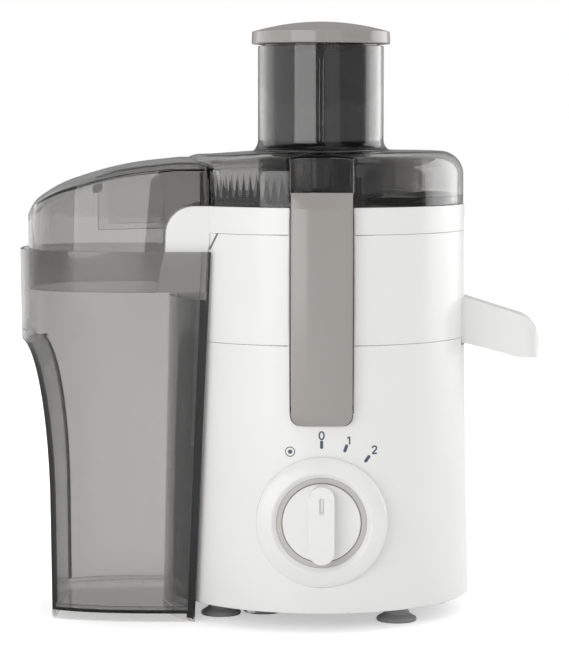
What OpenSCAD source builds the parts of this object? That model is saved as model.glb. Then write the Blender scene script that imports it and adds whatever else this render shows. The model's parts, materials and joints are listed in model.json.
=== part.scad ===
// Centrifugal juicer, built as separate pieces. Millimetres, +Z up.
// Origin: on the motor axis, at table level. Dial toward -Y, spout toward +X, pulp bin toward -X.

/* [Heights] */
// Bottom edge of the housing above the table
foot_h = 10.7; // [9:0.1:13]
// Seam between the motor base and the juice collector
base_top_z = 159.3; // [156:0.1:162]
// Height of the collector shell, seam to seam
shell_h = 61.1; // [58:0.1:66]
// Height of the collector rim
rim_h = 15.1; // [14:0.1:18]
// Height of the lid above the rim
lid_h = 30.3; // [29:0.1:34]
// Height of the feed tube above the lid
tube_h = 60.2; // [45:0.1:70]

/* [Body] */
// Outer radius at the collector rim
body_top_r = 83.1; // [82.5:0.1:84]
// Extra radius at the bottom edge
body_flare = 3.2; // [2:0.1:4]
// Wall of the white housings
wall = 2.6; // [2.2:0.1:3]
// Depth of the motor deck below the seam
deck_drop = 9.3; // [8:0.1:12]

/* [Lid and feed tube] */
// Step from the collector rim in to the lid
lid_inset = 0.7; // [0.3:0.1:1.2]
// Radius of the rounded top edge of the lid
lid_edge_r = 13.5; // [10:0.5:15]
// Wall of the clear plastic parts
clear_wall = 2.2; // [2:0.1:2.6]
// Outer radius of the feed tube
tube_r = 36.3; // [34:0.1:38]
// Radius of the blend at the foot of the feed tube
tube_blend = 6; // [4:0.5:8]
// Gap from the grater up to the feed tube
tube_gap = 7; // [5:0.5:14]
// Step from the rim in to the centre of the oval hood and bin
oval_inset = 1.1; // [0:0.1:3]
// Long half axis of the pulp chute hood
hood_a = 87; // [85:0.5:88]
// Squareness of the oval of hood and bin, 2 for an ellipse
oval_power = 2.8; // [2:0.1:3.2]
// Half width of the pulp chute hood
hood_b = 55.2; // [54:0.1:55.5]
// Drop of the hood ridge below the lid's flat top
ridge_drop = 0.8; // [0.4:0.1:2]
// Reach of the hood below the rim top, into the bin mouth
hood_dip = 48.5; // [46:0.5:52]

/* [Pusher] */
// Overhang of the pusher cap beyond the feed tube
cap_over = 3.7; // [2.5:0.1:6]
// Height of the cap, edge to crown
cap_h = 13; // [11:0.5:16]

/* [Clamps] */
// Half width of a clamp
clamp_hw = 17; // [15:0.1:18]
// Stand of the clamp's outer face beyond the rim
clamp_stand = 5.9; // [5.4:0.1:7]
// Depth of the clamp pivot below the seam
pivot_drop = 37.5; // [33:0.1:40]
// Step from the rim in to the clamp pivot
pivot_inset = 4.1; // [3.9:0.1:5]
// Radius of the rounded lower end of a clamp
barrel_r = 7.2; // [6.6:0.1:7.4]
// Reach of the clamp above the rim
hook_rise = 8.3; // [7.9:0.1:9.5]
// Corner radius of the clamp's lower end
clamp_corner = 5.5; // [4:0.1:6]
// Radius of a clamp pin
pin_r = 2; // [1.8:0.1:2.2]

/* [Dial] */
// Height of the dial centre
dial_z = 61.7; // [58:0.1:66]
// Radius of the dial collar
collar_r = 36.3; // [35:0.1:38]
// Stand of the collar's front edge beyond the rim
collar_stand = 3.9; // [3.5:0.1:5]
// Width of the collar, edge to crest
collar_w = 8; // [6:0.1:9]
// Width of the bevel inside the crest
bevel_w = 3.2; // [2.6:0.1:4]
// Width of the grey ring, with the gap to the knob
ring_w = 3.4; // [2.6:0.1:4.4]
// Width of the knob's grip bar
grip_w = 14; // [11:0.5:16]
// Height of the grip bar above the knob disc
grip_h = 12; // [9:0.5:15]
// Radius of the switch spindle
spindle_r = 3; // [2.5:0.1:3.5]

/* [Pulp bin] */
// Overlap of the bin and the hood's skirt
bin_over = 23; // [18:0.5:27]
// Step from the hood out to the bin, along the bin
bin_step = 4.6; // [4:0.1:6]
// Step from the hood out to the bin, across the bin
bin_side = 3.3; // [3.2:0.1:4.5]
// Narrowing of the bin's half width down to its foot
bin_taper = 4.5; // [3:0.5:6]
// Height of the bin floor's upper face
bin_floor_z = 6.5; // [5:0.5:14]
// Gap from the drum to the bin's hollow side, at the rim
bin_gap = 1.9; // [1.5:0.1:4]
// Extra gap at the bottom
bin_gap_low = 1.4; // [0.4:0.1:2]
// Gap from the hollow side up to the hood's skirt
hollow_gap = 4; // [3:0.5:10]

/* [Collector and spout] */
// Step from the rim in to the collector bowl
bowl_inset = 9.1; // [8.7:0.1:10]
// Height of the juice channel above the seam
channel_rise = 3.7; // [3.4:0.1:6]
// Length of the spout beyond the rim
spout_len = 43; // [32:0.5:48]
// Width of the spout
spout_w = 36; // [30:1:42]

/* [Sieve] */
// Radius of the grater disc
grater_r = 50; // [47:0.5:52]
// Height of the grater disc above the juice channel
grater_rise = 23; // [22:0.5:24]
// Gap from the sieve's wall to the bowl, at the rim
sieve_gap = 8; // [6:0.5:12]
// Teeth in one row of the grater
teeth = 12; // [8:1:16]
// Slots around the sieve wall
sieve_slots = 24; // [12:1:36]

/* [Motor] */
// Radius of the motor shaft
shaft_r = 4; // [3.5:0.1:4.5]
// Radius of the spinning core
core_r = 19.7; // [18:0.1:20]
// Bottom of the laminated core
core_z = 63; // [60:0.5:66]
// Height of the laminated core
core_h = 36; // [30:0.5:38]
// Width of the stator
stator_w = 78; // [70:1:80]
// Depth of the stator
stator_d = 64; // [60:1:66]
// Radius of the cooling fan
fan_r = 31; // [26:0.5:33]

/* [Feet] */
// Radius of a suction foot where it meets the table
foot_r = 11.6; // [10:0.1:12.4]
// Step from the rim in to the circle of feet
foot_inset = 19.1; // [17:0.1:23]

/* [Cord entry] */
// Radius of the cord that the gland holds
cord_r = 3.5; // [3:0.1:4]
// Height of the cord entry
gland_z = 26; // [22:0.5:40]

/* [Fits] */
// Running gap of a shaft or pin in its hole
run_gap = 0.04; // [0.02:0.01:0.08]
// Gap between parts that move past each other
move_gap = 0.4; // [0.3:0.05:0.5]
// Gap at the sides of a clamp
clamp_gap = 0.5; // [0.4:0.05:0.6]

/* [Hidden] */
$fn = 96;

// Colours
white = [0.93, 0.93, 0.92];
smoke = [0.33, 0.32, 0.31, 0.55];
warm_grey = [0.68, 0.66, 0.63];
dark_rubber = [0.22, 0.22, 0.23];
steel = [0.75, 0.76, 0.77];
lamination = [0.45, 0.46, 0.48];
copper = [0.72, 0.40, 0.22];
black_nylon = [0.12, 0.12, 0.13];

// Heights, from the table up
shell_top_z = base_top_z + shell_h;
rim_top_z = shell_top_z + rim_h;
lid_top_z = rim_top_z + lid_h;
tube_top_z = lid_top_z + tube_h;
deck_z = base_top_z - deck_drop;
bowl_floor_z = base_top_z + channel_rise;
grater_z = bowl_floor_z + grater_rise;
tube_bottom_z = grater_z + tube_gap;
hood_ridge_z = lid_top_z - ridge_drop;
hood_skirt_z = rim_top_z - hood_dip;
bin_rim_z = hood_skirt_z + bin_over;
bin_hollow_z = hood_skirt_z - hollow_gap;
pivot_z = base_top_z - pivot_drop;
clamp_top_z = rim_top_z + hook_rise;

// Distances from the motor axis
lid_r = body_top_r - lid_inset;
oval_x = -(body_top_r - oval_inset);
pusher_r = tube_r - clear_wall - move_gap;
cap_r = tube_r + cap_over;
clamp_face = body_top_r + clamp_stand;
pivot_u = body_top_r - pivot_inset;
collar_face = body_top_r + collar_stand;
bin_hollow_r = body_top_r + bin_gap;
bin_hollow_flare = body_flare + bin_gap_low;
bowl_r = body_top_r - bowl_inset;
spout_reach = body_top_r + spout_len;
sieve_top_r = bowl_r - sieve_gap;
foot_circle = body_top_r - foot_inset;
screw_circle = body_top_r - 5.1;

// Radii of the dial and half axes of the bin
crest_r = collar_r - collar_w;
ring_r = crest_r - bevel_w;
knob_r = ring_r - ring_w;
bin_a = hood_a + bin_step;
bin_b = hood_b + bin_side;
bin_foot_b = bin_b - bin_taper;

// Other values that follow from the dimensions above
tube_in = tube_r - clear_wall;
pocket_hw = clamp_hw + clamp_gap;
pocket_u = body_top_r - 4.5;
clamp_back_u = pocket_u + 1.9;
seat_u = pocket_u - 3.4;
seat_z = rim_top_z + 6.4;
seat_slope = 0.64;
cheek_t = 2.3;
guide_y = hood_b - 11.2;
bolt_x = stator_w / 2 - 7;
bolt_y = 20;
mount_xy = 36;
core_top = core_z + core_h;
board_x = stator_w / 2 + 5;
bracket_hi = core_top + 9;
bracket_lo = 40;
shaft_low = 18;
fan_z = 20;
sieve_rim_z = rim_top_z + 1.5;
plunger_z = deck_z - 6;
pin_half = pocket_hw + 1.7;
plunger_r = 2.5;
root_flare = 3;
hood_steps = 22;
crown_steps = 16;
bin_steps = 64;
scoop_steps = 16;
foot_places = [for (a = [-47.8, 12.9, 118.8, 206.2]) foot_circle * [cos(a), sin(a)], [-33, -20]];
screw_angles = [30, 150, 240, 330];

// Outer radius of the white body at height z
function body_r(z) = body_top_r + body_flare * pow((rim_top_z - z) / (rim_top_z - foot_h), 2);

// Heights that divide the body curve between z0 and z1 into n parts
function levels(z0, z1, n) = [for (i = [0:n]) z0 + (z1 - z0) * i / n];

// ---------- shared shapes ----------

// Ring about the motor axis
module ring(r_out, r_in, z0, z1) {
    rotate_extrude()
        translate([r_in, z0])
            square([r_out - r_in, z1 - z0]);
}

// Shell that follows the body curve, thickness t
module body_shell(z0, z1, t, n = 5, inset = 0) {
    zs = levels(z0, z1, n);
    rotate_extrude()
        polygon(concat(
            [for (z = zs) [body_r(z) - inset, z]],
            [for (i = [n:-1:0]) [body_r(zs[i]) - inset - t, zs[i]]]));
}

// Extrudes a (distance from axis, height) outline across the front, on the -Y side
module side_plate(width) {
    rotate([0, 0, -90])
        rotate([90, 0, 0])
            linear_extrude(height = width, center = true)
                children();
}

// Turns the children about a horizontal line through the dial centre, r along the dial
module dial_turned() {
    translate([0, 0, dial_z])
        rotate([90, 0, 0])
            rotate_extrude()
                children();
}

// Both clamp sides: front and back
module both_sides() {
    for (a = [0, 180])
        rotate([0, 0, a])
            children();
}

// Cylinder across the clamp at its pivot, with rounded corners
module pivot_barrel(grow, half) {
    flat = clamp_hw - clamp_corner;
    r = barrel_r + grow;
    translate([0, -pivot_u, pivot_z])
        rotate([0, 90, 0])
            rotate_extrude()
                intersection() {
                    translate([0, -half])
                        square([r, 2 * half]);
                    union() {
                        translate([0, -flat])
                            square([r, 2 * flat]);
                        for (s = [-1, 1])
                            translate([r - clamp_corner - grow, s * flat])
                                circle(r = clamp_corner + grow);
                        translate([0, -half])
                            square([r - clamp_corner - grow, 2 * half]);
                    }
                }
}

// Space that a clamp takes up in the white body, from its barrel to height z1
module clamp_pocket(z1) {
    both_sides() {
        translate([-pocket_hw, -clamp_face - 5, pivot_z])
            cube([2 * pocket_hw, clamp_face + 5 - pocket_u, z1 - pivot_z]);
        pivot_barrel(clamp_gap, pocket_hw);
    }
}

// Walls around the clamp pocket, from z0 to z1
module pocket_walls(z0, z1, depth) {
    both_sides()
        intersection() {
            translate([-pocket_hw - wall, -body_r(z0), z0])
                cube([2 * (pocket_hw + wall), body_r(z0) - pocket_u + depth, z1 - z0]);
            body_shell(z0, z1, body_r(z0) - 20, 4, 0.05);
        }
}

// ---------- motor base ----------

module base_housing() {
    color(white)
    difference() {
        union() {
            body_shell(foot_h, base_top_z, wall, 8);
            ring(body_r(deck_z) - wall / 2, 13, deck_z, deck_z + 3);
            ring(16, 13, deck_z - 4, deck_z + 5);
            pocket_walls(pivot_z - barrel_r - 3, deck_z + 3, pocket_u - pivot_u + barrel_r + 2.3);
            pocket_walls(deck_z, base_top_z, wall);
            dial_boss();
            // posts that the motor hangs from
            for (x = [-1, 1], y = [-1, 1])
                translate([x * mount_xy, y * mount_xy, bracket_hi + 9])
                    cylinder(r = 6, h = deck_z - bracket_hi - 8);
            // posts for the base plate screws, joined to the wall
            for (a = screw_angles)
                rotate([0, 0, a])
                    translate([screw_circle, 0, foot_h + 3])
                        cylinder(r = 5, h = 30);
        }
        clamp_pocket(base_top_z + 1);
        both_sides()
            translate([-pin_half, -pivot_u, pivot_z])
                rotate([0, 90, 0])
                    cylinder(r = pin_r, h = 2 * pin_half);
        for (a = screw_angles)
            rotate([0, 0, a])
                translate([screw_circle, 0, foot_h + 2])
                    cylinder(r = 1.5, h = 20);
        for (x = [-1, 1], y = [-1, 1])
            translate([x * mount_xy, y * mount_xy, bracket_hi + 8])
                cylinder(r = 1.5, h = 18);
        // knob recess and the hole for the switch spindle
        dial_turned()
            polygon([[0, collar_face - 2.5], [ring_r, collar_face - 2.5], [ring_r, collar_face + 0.4],
                [crest_r - 0.8, collar_face + 2.6], [crest_r - 0.8, 110], [0, 110]]);
        translate([0, -70, dial_z])
            rotate([90, 0, 0])
                cylinder(r = spindle_r + 1, h = 20);
        // plunger guide through the back of the front clamp pocket
        translate([0, -60, plunger_z])
            rotate([90, 0, 0])
                cylinder(r = plunger_r + run_gap, h = 30);
        // cord entry at the back
        translate([0, 70, gland_z])
            rotate([-90, 0, 0])
                cylinder(r = 6, h = 30);
        // low notch under the spout
        translate([body_r(base_top_z) - 20, -spout_w / 2 - root_flare - 0.4, base_top_z - 4.6])
            cube([30, spout_w + 2 * root_flare + 0.8, 6]);
    }
}

// Raised round collar on the front that carries the dial
module dial_boss() {
    difference() {
        dial_turned()
            polygon([[0, 66], [collar_r, 66], [collar_r, collar_face - 0.6],
                [collar_r - 0.6, collar_face], [crest_r + 0.8, collar_face + 2.4],
                [crest_r, collar_face + 2.6], [0, collar_face + 2.6]]);
        dial_turned()
            polygon([[0, 60], [collar_r - wall, 60], [collar_r - wall, collar_face - 5.1],
                [0, collar_face - 5.1]]);
    }
}

module base_plate() {
    color(white)
    difference() {
        union() {
            ring(body_r(foot_h) - wall - 0.3, 0, foot_h, foot_h + 3);
            // raised ring that keeps splashes from the fan inlet
            ring(fan_r + 2.6, fan_r + 1, foot_h, foot_h + 8);
            // uprights that carry the speed board
            for (y = [-1, 1])
                translate([board_x + 1.6, y * 26 - 3, foot_h + 2])
                    cube([5, 6, 52]);
        }
        // air slots under the fan
        for (a = [0:15:345])
            rotate([0, 0, a])
                translate([14, -1.6, foot_h - 1])
                    cube([15, 3.2, 5]);
        // air outlet slots toward the edge
        for (a = [70:8:110], s = [0, 180])
            rotate([0, 0, a + s])
                translate([48, -1.6, foot_h - 1])
                    cube([20, 3.2, 5]);
        for (a = screw_angles)
            rotate([0, 0, a])
                translate([screw_circle, 0, foot_h - 1])
                    cylinder(r = 1.7, h = 5);
        for (p = foot_places)
            translate([p[0], p[1], foot_h - 1])
                cylinder(r = 3.2, h = 5);
    }
}

module suction_feet() {
    color(dark_rubber)
    for (p = foot_places)
        translate([p[0], p[1], 0])
            rotate_extrude()
                polygon([[0, foot_h + 5], [2.6, foot_h + 5], [4.6, foot_h + 3.1], [3.1, foot_h + 3.1],
                    [3.1, foot_h - 0.1], [8.4, foot_h - 0.1], [8.4, foot_h - 1], [5.6, foot_h - 2.4],
                    [7.6, 4.2], [foot_r - 0.6, 2.2], [foot_r, 1.4], [foot_r - 0.4, 0], [foot_r - 1.6, 0],
                    [6, 2.6], [0, 3.2]]);
}

module base_screws() {
    color(steel)
    for (a = screw_angles)
        rotate([0, 0, a])
            translate([screw_circle, 0, 0]) {
                translate([0, 0, foot_h - 2.2])
                    cylinder(r = 3.2, h = 2.2);
                translate([0, 0, foot_h - 0.1])
                    cylinder(r = 1.46, h = 17);
            }
}

module cord_gland() {
    wall_y = body_r(gland_z) - wall - 0.1;
    color(dark_rubber)
    translate([0, 0, gland_z])
        rotate([-90, 0, 0])
            rotate_extrude()
                polygon([[cord_r, wall_y - 6], [9, wall_y - 6], [9, wall_y - 0.65], [6, wall_y - 0.65],
                    [6, wall_y + wall + 0.45], [9, wall_y + wall + 0.45], [9, wall_y + wall + 3],
                    [7, wall_y + wall + 5], [5.2, wall_y + 32], [cord_r, wall_y + 32]]);
}

// ---------- motor ----------

module motor_stator() {
    color(lamination)
    difference() {
        translate([-stator_w / 2, -stator_d / 2, core_z])
            cube([stator_w, stator_d, core_h]);
        translate([0, 0, core_z - 1])
            cylinder(r = core_r + 0.8, h = core_h + 2);
        // winding slots beside the poles
        for (x = [-1, 1], y = [-1, 1])
            translate([x * 24 - 4.5, y * 16 - 5.5, core_z - 1])
                cube([9, 11, core_h + 2]);
        for (x = [-1, 1], y = [-1, 1])
            translate([x * bolt_x, y * bolt_y, core_z - 1])
                cylinder(r = 2.2, h = core_h + 2);
    }
}

module field_coils() {
    color(copper)
    for (y = [-1, 1]) {
        for (x = [-1, 1])
            translate([x * 24 - 4, y * 16 - 5, core_z - 7])
                cube([8, 10, core_h + 14]);
        for (z = [core_z - 7, core_top])
            translate([-24, y * 25 - 4.5, z])
                cube([48, 9, 7]);
        for (x = [-1, 1], z = [core_z - 7, core_top])
            translate([x * 24 - 4, y * 22 - 6, z])
                cube([8, 12, 7]);
    }
}

// Strap across the motor with a cup for a bearing
module bearing_bracket(z, cup_dir) {
    translate([0, 0, z])
        cylinder(r = 13, h = 2);
    translate([0, 0, cup_dir > 0 ? z : z - 8])
        cylinder(r = 12, h = 10);
    translate([-stator_w / 2, -bolt_y - 5, z])
        cube([stator_w, 2 * bolt_y + 10, 2]);
}

// Holes through a bracket for the bearing, the shaft and the long bolts
module bracket_holes(z) {
    translate([0, 0, z - 9])
        cylinder(r = 10, h = 20);
    for (x = [-1, 1], y = [-1, 1])
        translate([x * bolt_x, y * bolt_y, z - 1])
            cylinder(r = 2.2, h = 4);
    for (x = [-1, 1])
        translate([x * 21 - 3, -8, z - 1])
            cube([6, 16, 4]);
}

module upper_bracket() {
    color(steel)
    difference() {
        union() {
            bearing_bracket(bracket_hi, 1);
            translate([-mount_xy - 9, -mount_xy - 9, bracket_hi])
                cube([2 * mount_xy + 18, 2 * mount_xy + 18, 2]);
        }
        bracket_holes(bracket_hi);
        for (x = [-1, 1], y = [-1, 1])
            translate([x * mount_xy, y * mount_xy, bracket_hi - 1])
                cylinder(r = 4.6, h = 4);
    }
}

module lower_bracket() {
    color(steel)
    difference() {
        bearing_bracket(bracket_lo, -1);
        bracket_holes(bracket_lo);
    }
}

// Oil-filled bronze sleeve with a flange
module sleeve_bearing(z) {
    difference() {
        translate([0, 0, z])
            cylinder(r = 10, h = 9);
        translate([0, 0, z - 1])
            cylinder(r = shaft_r + run_gap, h = 11);
    }
}

module upper_bearing() {
    color([0.70, 0.55, 0.30])
    sleeve_bearing(bracket_hi + 0.5);
}

module lower_bearing() {
    color([0.70, 0.55, 0.30])
    sleeve_bearing(bracket_lo - 7.5);
}

// Long bolts that clamp both brackets to the stator
module motor_bolts() {
    color(steel)
    for (x = [-1, 1], y = [-1, 1])
        translate([x * bolt_x, y * bolt_y, 0]) {
            translate([0, 0, bracket_lo])
                cylinder(r = 2, h = bracket_hi - bracket_lo + 4);
            translate([0, 0, bracket_lo - 3])
                cylinder(r = 3.8, h = 3);
            translate([0, 0, bracket_hi + 2])
                cylinder(r = 3.8, h = 3, $fn = 6);
            // spacer tubes between the brackets and the stator
            translate([0, 0, bracket_lo + 2])
                cylinder(r = 3.6, h = core_z - bracket_lo - 2);
            translate([0, 0, core_top])
                cylinder(r = 3.6, h = bracket_hi - core_top);
        }
}

// Rubber grommets between the motor and the housing posts
module motor_mounts() {
    color(dark_rubber)
    for (x = [-1, 1], y = [-1, 1])
        translate([x * mount_xy, y * mount_xy, bracket_hi])
            rotate_extrude()
                polygon([[2.2, -6], [8, -6], [8, 0], [4.5, 0], [4.5, 2], [8, 2], [8, 9], [2.2, 9]]);
}

module mount_screws() {
    color(steel)
    for (x = [-1, 1], y = [-1, 1])
        translate([x * mount_xy, y * mount_xy, bracket_hi]) {
            translate([0, 0, -8.4])
                cylinder(r = 4.6, h = 2.4);
            translate([0, 0, -6.4])
                cylinder(r = 1.46, h = 28);
        }
}

// Insulated boxes that guide the brushes onto the commutator
module brush_holders() {
    color(black_nylon)
    for (s = [-1, 1])
        difference() {
            translate([s > 0 ? 12.5 : -30.5, -5.5, bracket_lo + 2])
                cube([18, 11, 14]);
            translate([s > 0 ? 11.5 : -29, -3.2, bracket_lo + 5])
                cube([17.5, 6.4, 8]);
        }
}

module carbon_brushes() {
    color([0.20, 0.20, 0.21])
    for (s = [-1, 1])
        translate([s > 0 ? 10.3 : -24.3, -3.1, bracket_lo + 5.1])
            cube([14, 6.2, 7.8]);
}

// Lip seal that keeps juice out of the motor
module shaft_seal() {
    color(dark_rubber)
    rotate_extrude()
        polygon([[7, deck_z - 2], [12.9, deck_z - 2], [12.9, deck_z + 4], [9, deck_z + 4],
            [shaft_r + 0.5, deck_z + 1.6], [shaft_r + 0.5, deck_z + 0.6], [7, deck_z + 2.4]]);
}

// ---------- controls in the base ----------

module speed_board() {
    color([0.20, 0.42, 0.28]) {
        translate([board_x, -30, 40])
            cube([1.6, 60, 44]);
        translate([board_x + 1.6, -20, 48])
            cube([10, 14, 22]);
        translate([board_x + 1.6, 4, 52])
            cube([7, 18, 12]);
    }
}

module rotary_switch() {
    color(black_nylon)
    difference() {
        union() {
            translate([-15, -collar_face + 6.6, dial_z - 13])
                cube([30, 18.7, 26]);
            translate([0, -collar_face + 7, dial_z])
                rotate([90, 0, 0])
                    cylinder(r = spindle_r + 3, h = 1.85);
            for (x = [-10, 0, 10])
                translate([x - 2, -collar_face + 25.2, dial_z - 4])
                    cube([4, 7, 1]);
        }
        translate([0, -collar_face + 17, dial_z])
            rotate([90, 0, 0])
                cylinder(r = spindle_r + run_gap, h = 30);
    }
}

module dial_ring() {
    color(warm_grey)
    dial_turned()
        translate([knob_r + move_gap, collar_face - 2.5])
            square([ring_r - knob_r - move_gap, 2.5]);
}

module interlock_switch() {
    color(black_nylon)
    translate([-10, -60, deck_z - 12])
        cube([20, 10, 12]);
}

module clamp_pins() {
    color(steel)
    both_sides()
        translate([-pin_half, -pivot_u, pivot_z])
            rotate([0, 90, 0])
                cylinder(r = pin_r, h = 2 * pin_half);
}

// Spring-loaded pin that the closed front clamp pushes in
module interlock_plunger() {
    color(warm_grey)
    translate([0, 0, plunger_z])
        rotate([90, 0, 0])
            rotate_extrude()
                polygon([[0, 60.2], [2.4, 60.2], [2.4, 64], [4.4, 64], [4.4, 65.6], [plunger_r, 65.6],
                    [plunger_r, clamp_back_u - 1.1], [plunger_r - 0.8, clamp_back_u - 0.3],
                    [0, clamp_back_u - 0.3]]);
}

module interlock_spring() {
    color(steel)
    translate([0, 0, plunger_z])
        rotate([90, 0, 0])
            rotate_extrude()
                translate([2.7, 60.2])
                    square([1.5, 3.6]);
}

// ---------- spinning parts ----------

module motor_shaft() {
    color(steel)
    translate([0, 0, shaft_low])
        cylinder(r = shaft_r, h = deck_z + 20 - shaft_low);
}

module rotor_core() {
    color(lamination)
    difference() {
        ring(core_r, shaft_r, core_z, core_top);
        for (a = [0:30:330])
            rotate([0, 0, a])
                translate([core_r - 7, -1, core_z - 1])
                    cube([10, 2, core_h + 2]);
    }
}

module rotor_windings() {
    color(copper) {
        ring(16, shaft_r, core_z - 6, core_z);
        ring(16, shaft_r, core_top, core_top + 6);
    }
}

module commutator() {
    color(copper)
    difference() {
        ring(10, shaft_r, bracket_lo + 4, core_z - 6);
        for (a = [0:15:345])
            rotate([0, 0, a])
                translate([9, -0.3, bracket_lo + 3])
                    cube([2, 0.6, core_z - bracket_lo]);
    }
}

module cooling_fan() {
    color(black_nylon) {
        ring(9, shaft_r, fan_z, fan_z + 10);
        ring(fan_r, 8.5, fan_z + 8.5, fan_z + 10);
        for (a = [0:30:330])
            rotate([0, 0, a])
                translate([8.5, -0.8, fan_z])
                    cube([fan_r - 9.5, 1.6, 9]);
    }
}

// Dog coupling on the shaft that drives the sieve
module drive_coupling() {
    color(black_nylon) {
        ring(9, shaft_r, deck_z + 5.5, deck_z + 20);
        ring(9, 0, deck_z + 20, deck_z + 26);
        for (a = [0:60:300])
            rotate([0, 0, a])
                translate([8, -1.5, deck_z + 12])
                    cube([3.2, 3, 14]);
    }
}

// Moulded base of the sieve with the socket for the coupling
module sieve_hub() {
    color(black_nylon)
    difference() {
        union() {
            ring(grater_r - 0.5, 0, grater_z - 3, grater_z);
            ring(16, 0, deck_z + 10.5, grater_z - 2);
            ring(grater_r - 0.5, grater_r - 2.5, grater_z - 5, grater_z - 2);
            for (a = [0:45:315])
                rotate([0, 0, a])
                    translate([15, -0.9, grater_z - 6])
                        cube([grater_r - 17, 1.8, 4]);
        }
        translate([0, 0, deck_z + 10])
            cylinder(r = 9.4, h = 17.5);
        for (a = [0:60:300])
            rotate([0, 0, a])
                translate([8, -2, deck_z + 10])
                    cube([3.8, 4, 17.5]);
    }
}

// Stainless disc with raised shredding teeth
module grater_disc() {
    color(steel) {
        ring(grater_r, 0, grater_z, grater_z + 0.8);
        ring(6, 0, grater_z, grater_z + 2);
        for (row = [0:4], k = [0:teeth - 1])
            rotate([0, 0, k * 360 / teeth + row * 11])
                translate([12 + row * 8, 0, grater_z])
                    rotate([0, 0, 35])
                        translate([-1.6, -0.5, 0])
                            cube([3.2, 1, 2.8]);
    }
}

// Conical strainer wall; the fine holes between the slots are a surface finish
module sieve_mesh() {
    color(steel)
    difference() {
        rotate_extrude()
            polygon([[grater_r, grater_z - 2], [grater_r + 1, grater_z - 2], [grater_r + 1, grater_z + 3],
                [sieve_top_r - 1, sieve_rim_z - 5], [sieve_top_r - 1, sieve_rim_z - 1.5],
                [sieve_top_r - 2, sieve_rim_z - 1.5], [sieve_top_r - 2, sieve_rim_z - 5],
                [grater_r, grater_z + 3]]);
        for (k = [0:sieve_slots - 1])
            rotate([0, 0, k * 360 / sieve_slots])
                translate([grater_r - 4, -0.5, grater_z + 12])
                    cube([20, 1, 24]);
    }
}

// Ring that stiffens the top of the sieve
module sieve_rim() {
    color(white)
    rotate_extrude()
        polygon([[sieve_top_r - 1, sieve_rim_z - 5], [sieve_top_r + 1.4, sieve_rim_z - 5],
            [sieve_top_r + 1.4, sieve_rim_z - 2.5], [sieve_top_r + 4, sieve_rim_z - 1],
            [sieve_top_r + 4, sieve_rim_z], [sieve_top_r - 2, sieve_rim_z],
            [sieve_top_r - 2, sieve_rim_z - 1.5], [sieve_top_r - 1, sieve_rim_z - 1.5]]);
}

// ---------- juice collector ----------

module collector_bowl() {
    color(white)
    difference() {
        union() {
            body_shell(base_top_z, shell_top_z, 2.4, 4);
            // bowl: channel floor, wall and the raised centre around the drive
            rotate_extrude()
                polygon([[18, bowl_floor_z - 2], [bowl_r + 2, bowl_floor_z - 2], [bowl_r + 2, shell_top_z],
                    [bowl_r, shell_top_z], [bowl_r, bowl_floor_z], [22, bowl_floor_z],
                    [22, bowl_floor_z + 13], [18, bowl_floor_z + 13]]);
            ring(body_r(shell_top_z) - 1, bowl_r + 1, shell_top_z - 2, shell_top_z);
            ring(body_r(base_top_z) - 1, bowl_r + 1, base_top_z, base_top_z + 2);
            pocket_walls(base_top_z, shell_top_z, 2.4);
            spout_outer();
        }
        clamp_pocket(shell_top_z + 1);
        spout_inner();
    }
}

// Side outline of the spout, (distance from axis, height), shrunk by t
module spout_outline(t) {
    root = body_top_r - 9;
    tip = spout_reach - t;
    z0 = base_top_z;
    lip = tip - 13.6 + t;
    polygon([[root, z0 + 25.7 - t], [body_top_r, z0 + 22.7 - t], [tip - 8.1 + t, z0 + 11.7 - t],
        [tip - 4.1 + t / 2, z0 + 9.2 - t], [tip - 1.2, z0 + 4.7], [tip, z0 - 3.3],
        [tip, z0 - 12.3 - (t > 0 ? 3 : 0)], [lip, z0 - 11.9 - (t > 0 ? 3.4 : 0)],
        [lip - 5.8, z0 - 9.9 + (t > 0 ? 0.8 : 0)], [body_top_r, z0 - 3.7 + t], [root, z0 - 1.5 + t]]);
}

// Plan outline of the spout, shrunk by t
module spout_plan(t) {
    hw = spout_w / 2 - t;
    tip_r = 9;
    root = body_top_r;
    polygon(concat([[root - 23, -hw - root_flare], [root + 0.9, -hw - 2], [root + 6.9, -hw]],
        [for (a = [-90:10:0]) [spout_reach - t - tip_r + tip_r * cos(a), -hw + tip_r + tip_r * sin(a)]],
        [for (a = [0:10:90]) [spout_reach - t - tip_r + tip_r * cos(a), hw - tip_r + tip_r * sin(a)]],
        [[root + 6.9, hw], [root + 0.9, hw + 2], [root - 23, hw + root_flare]]));
}

module spout_outer() {
    intersection() {
        rotate([90, 0, 0])
            linear_extrude(height = spout_w + 10, center = true)
                spout_outline(0);
        translate([0, 0, base_top_z - 20])
            linear_extrude(height = 50)
                spout_plan(0);
    }
}

module spout_inner() {
    intersection() {
        rotate([90, 0, 0])
            linear_extrude(height = spout_w - 4.4, center = true)
                union() {
                    spout_outline(2.2);
                    translate([bowl_r - 6, bowl_floor_z])
                        square([12, 15]);
                }
        translate([0, 0, base_top_z - 29])
            linear_extrude(height = 60)
                spout_plan(2.2);
    }
}

// Rim with the white side cheeks of the pulp chute
module collector_rim() {
    color(white)
    difference() {
        union() {
            body_shell(shell_top_z, rim_top_z, 2.6, 2);
            ring(body_r(rim_top_z) - 1, bowl_r - 1, shell_top_z, shell_top_z + 2.2);
            ring(bowl_r + 1.2, bowl_r - 1, shell_top_z, rim_top_z - 3);
            pocket_walls(shell_top_z, rim_top_z, 2.4);
            chute_back();
            for (s = [-1, 1])
                chute_cheek(s);
        }
        clamp_pocket(rim_top_z + 1);
        // mouth of the pulp chute
        translate([-body_top_r - 37, -hood_b + cheek_t, shell_top_z + 2.2])
            cube([78, 2 * (hood_b - cheek_t), 30]);
    }
}

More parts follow.
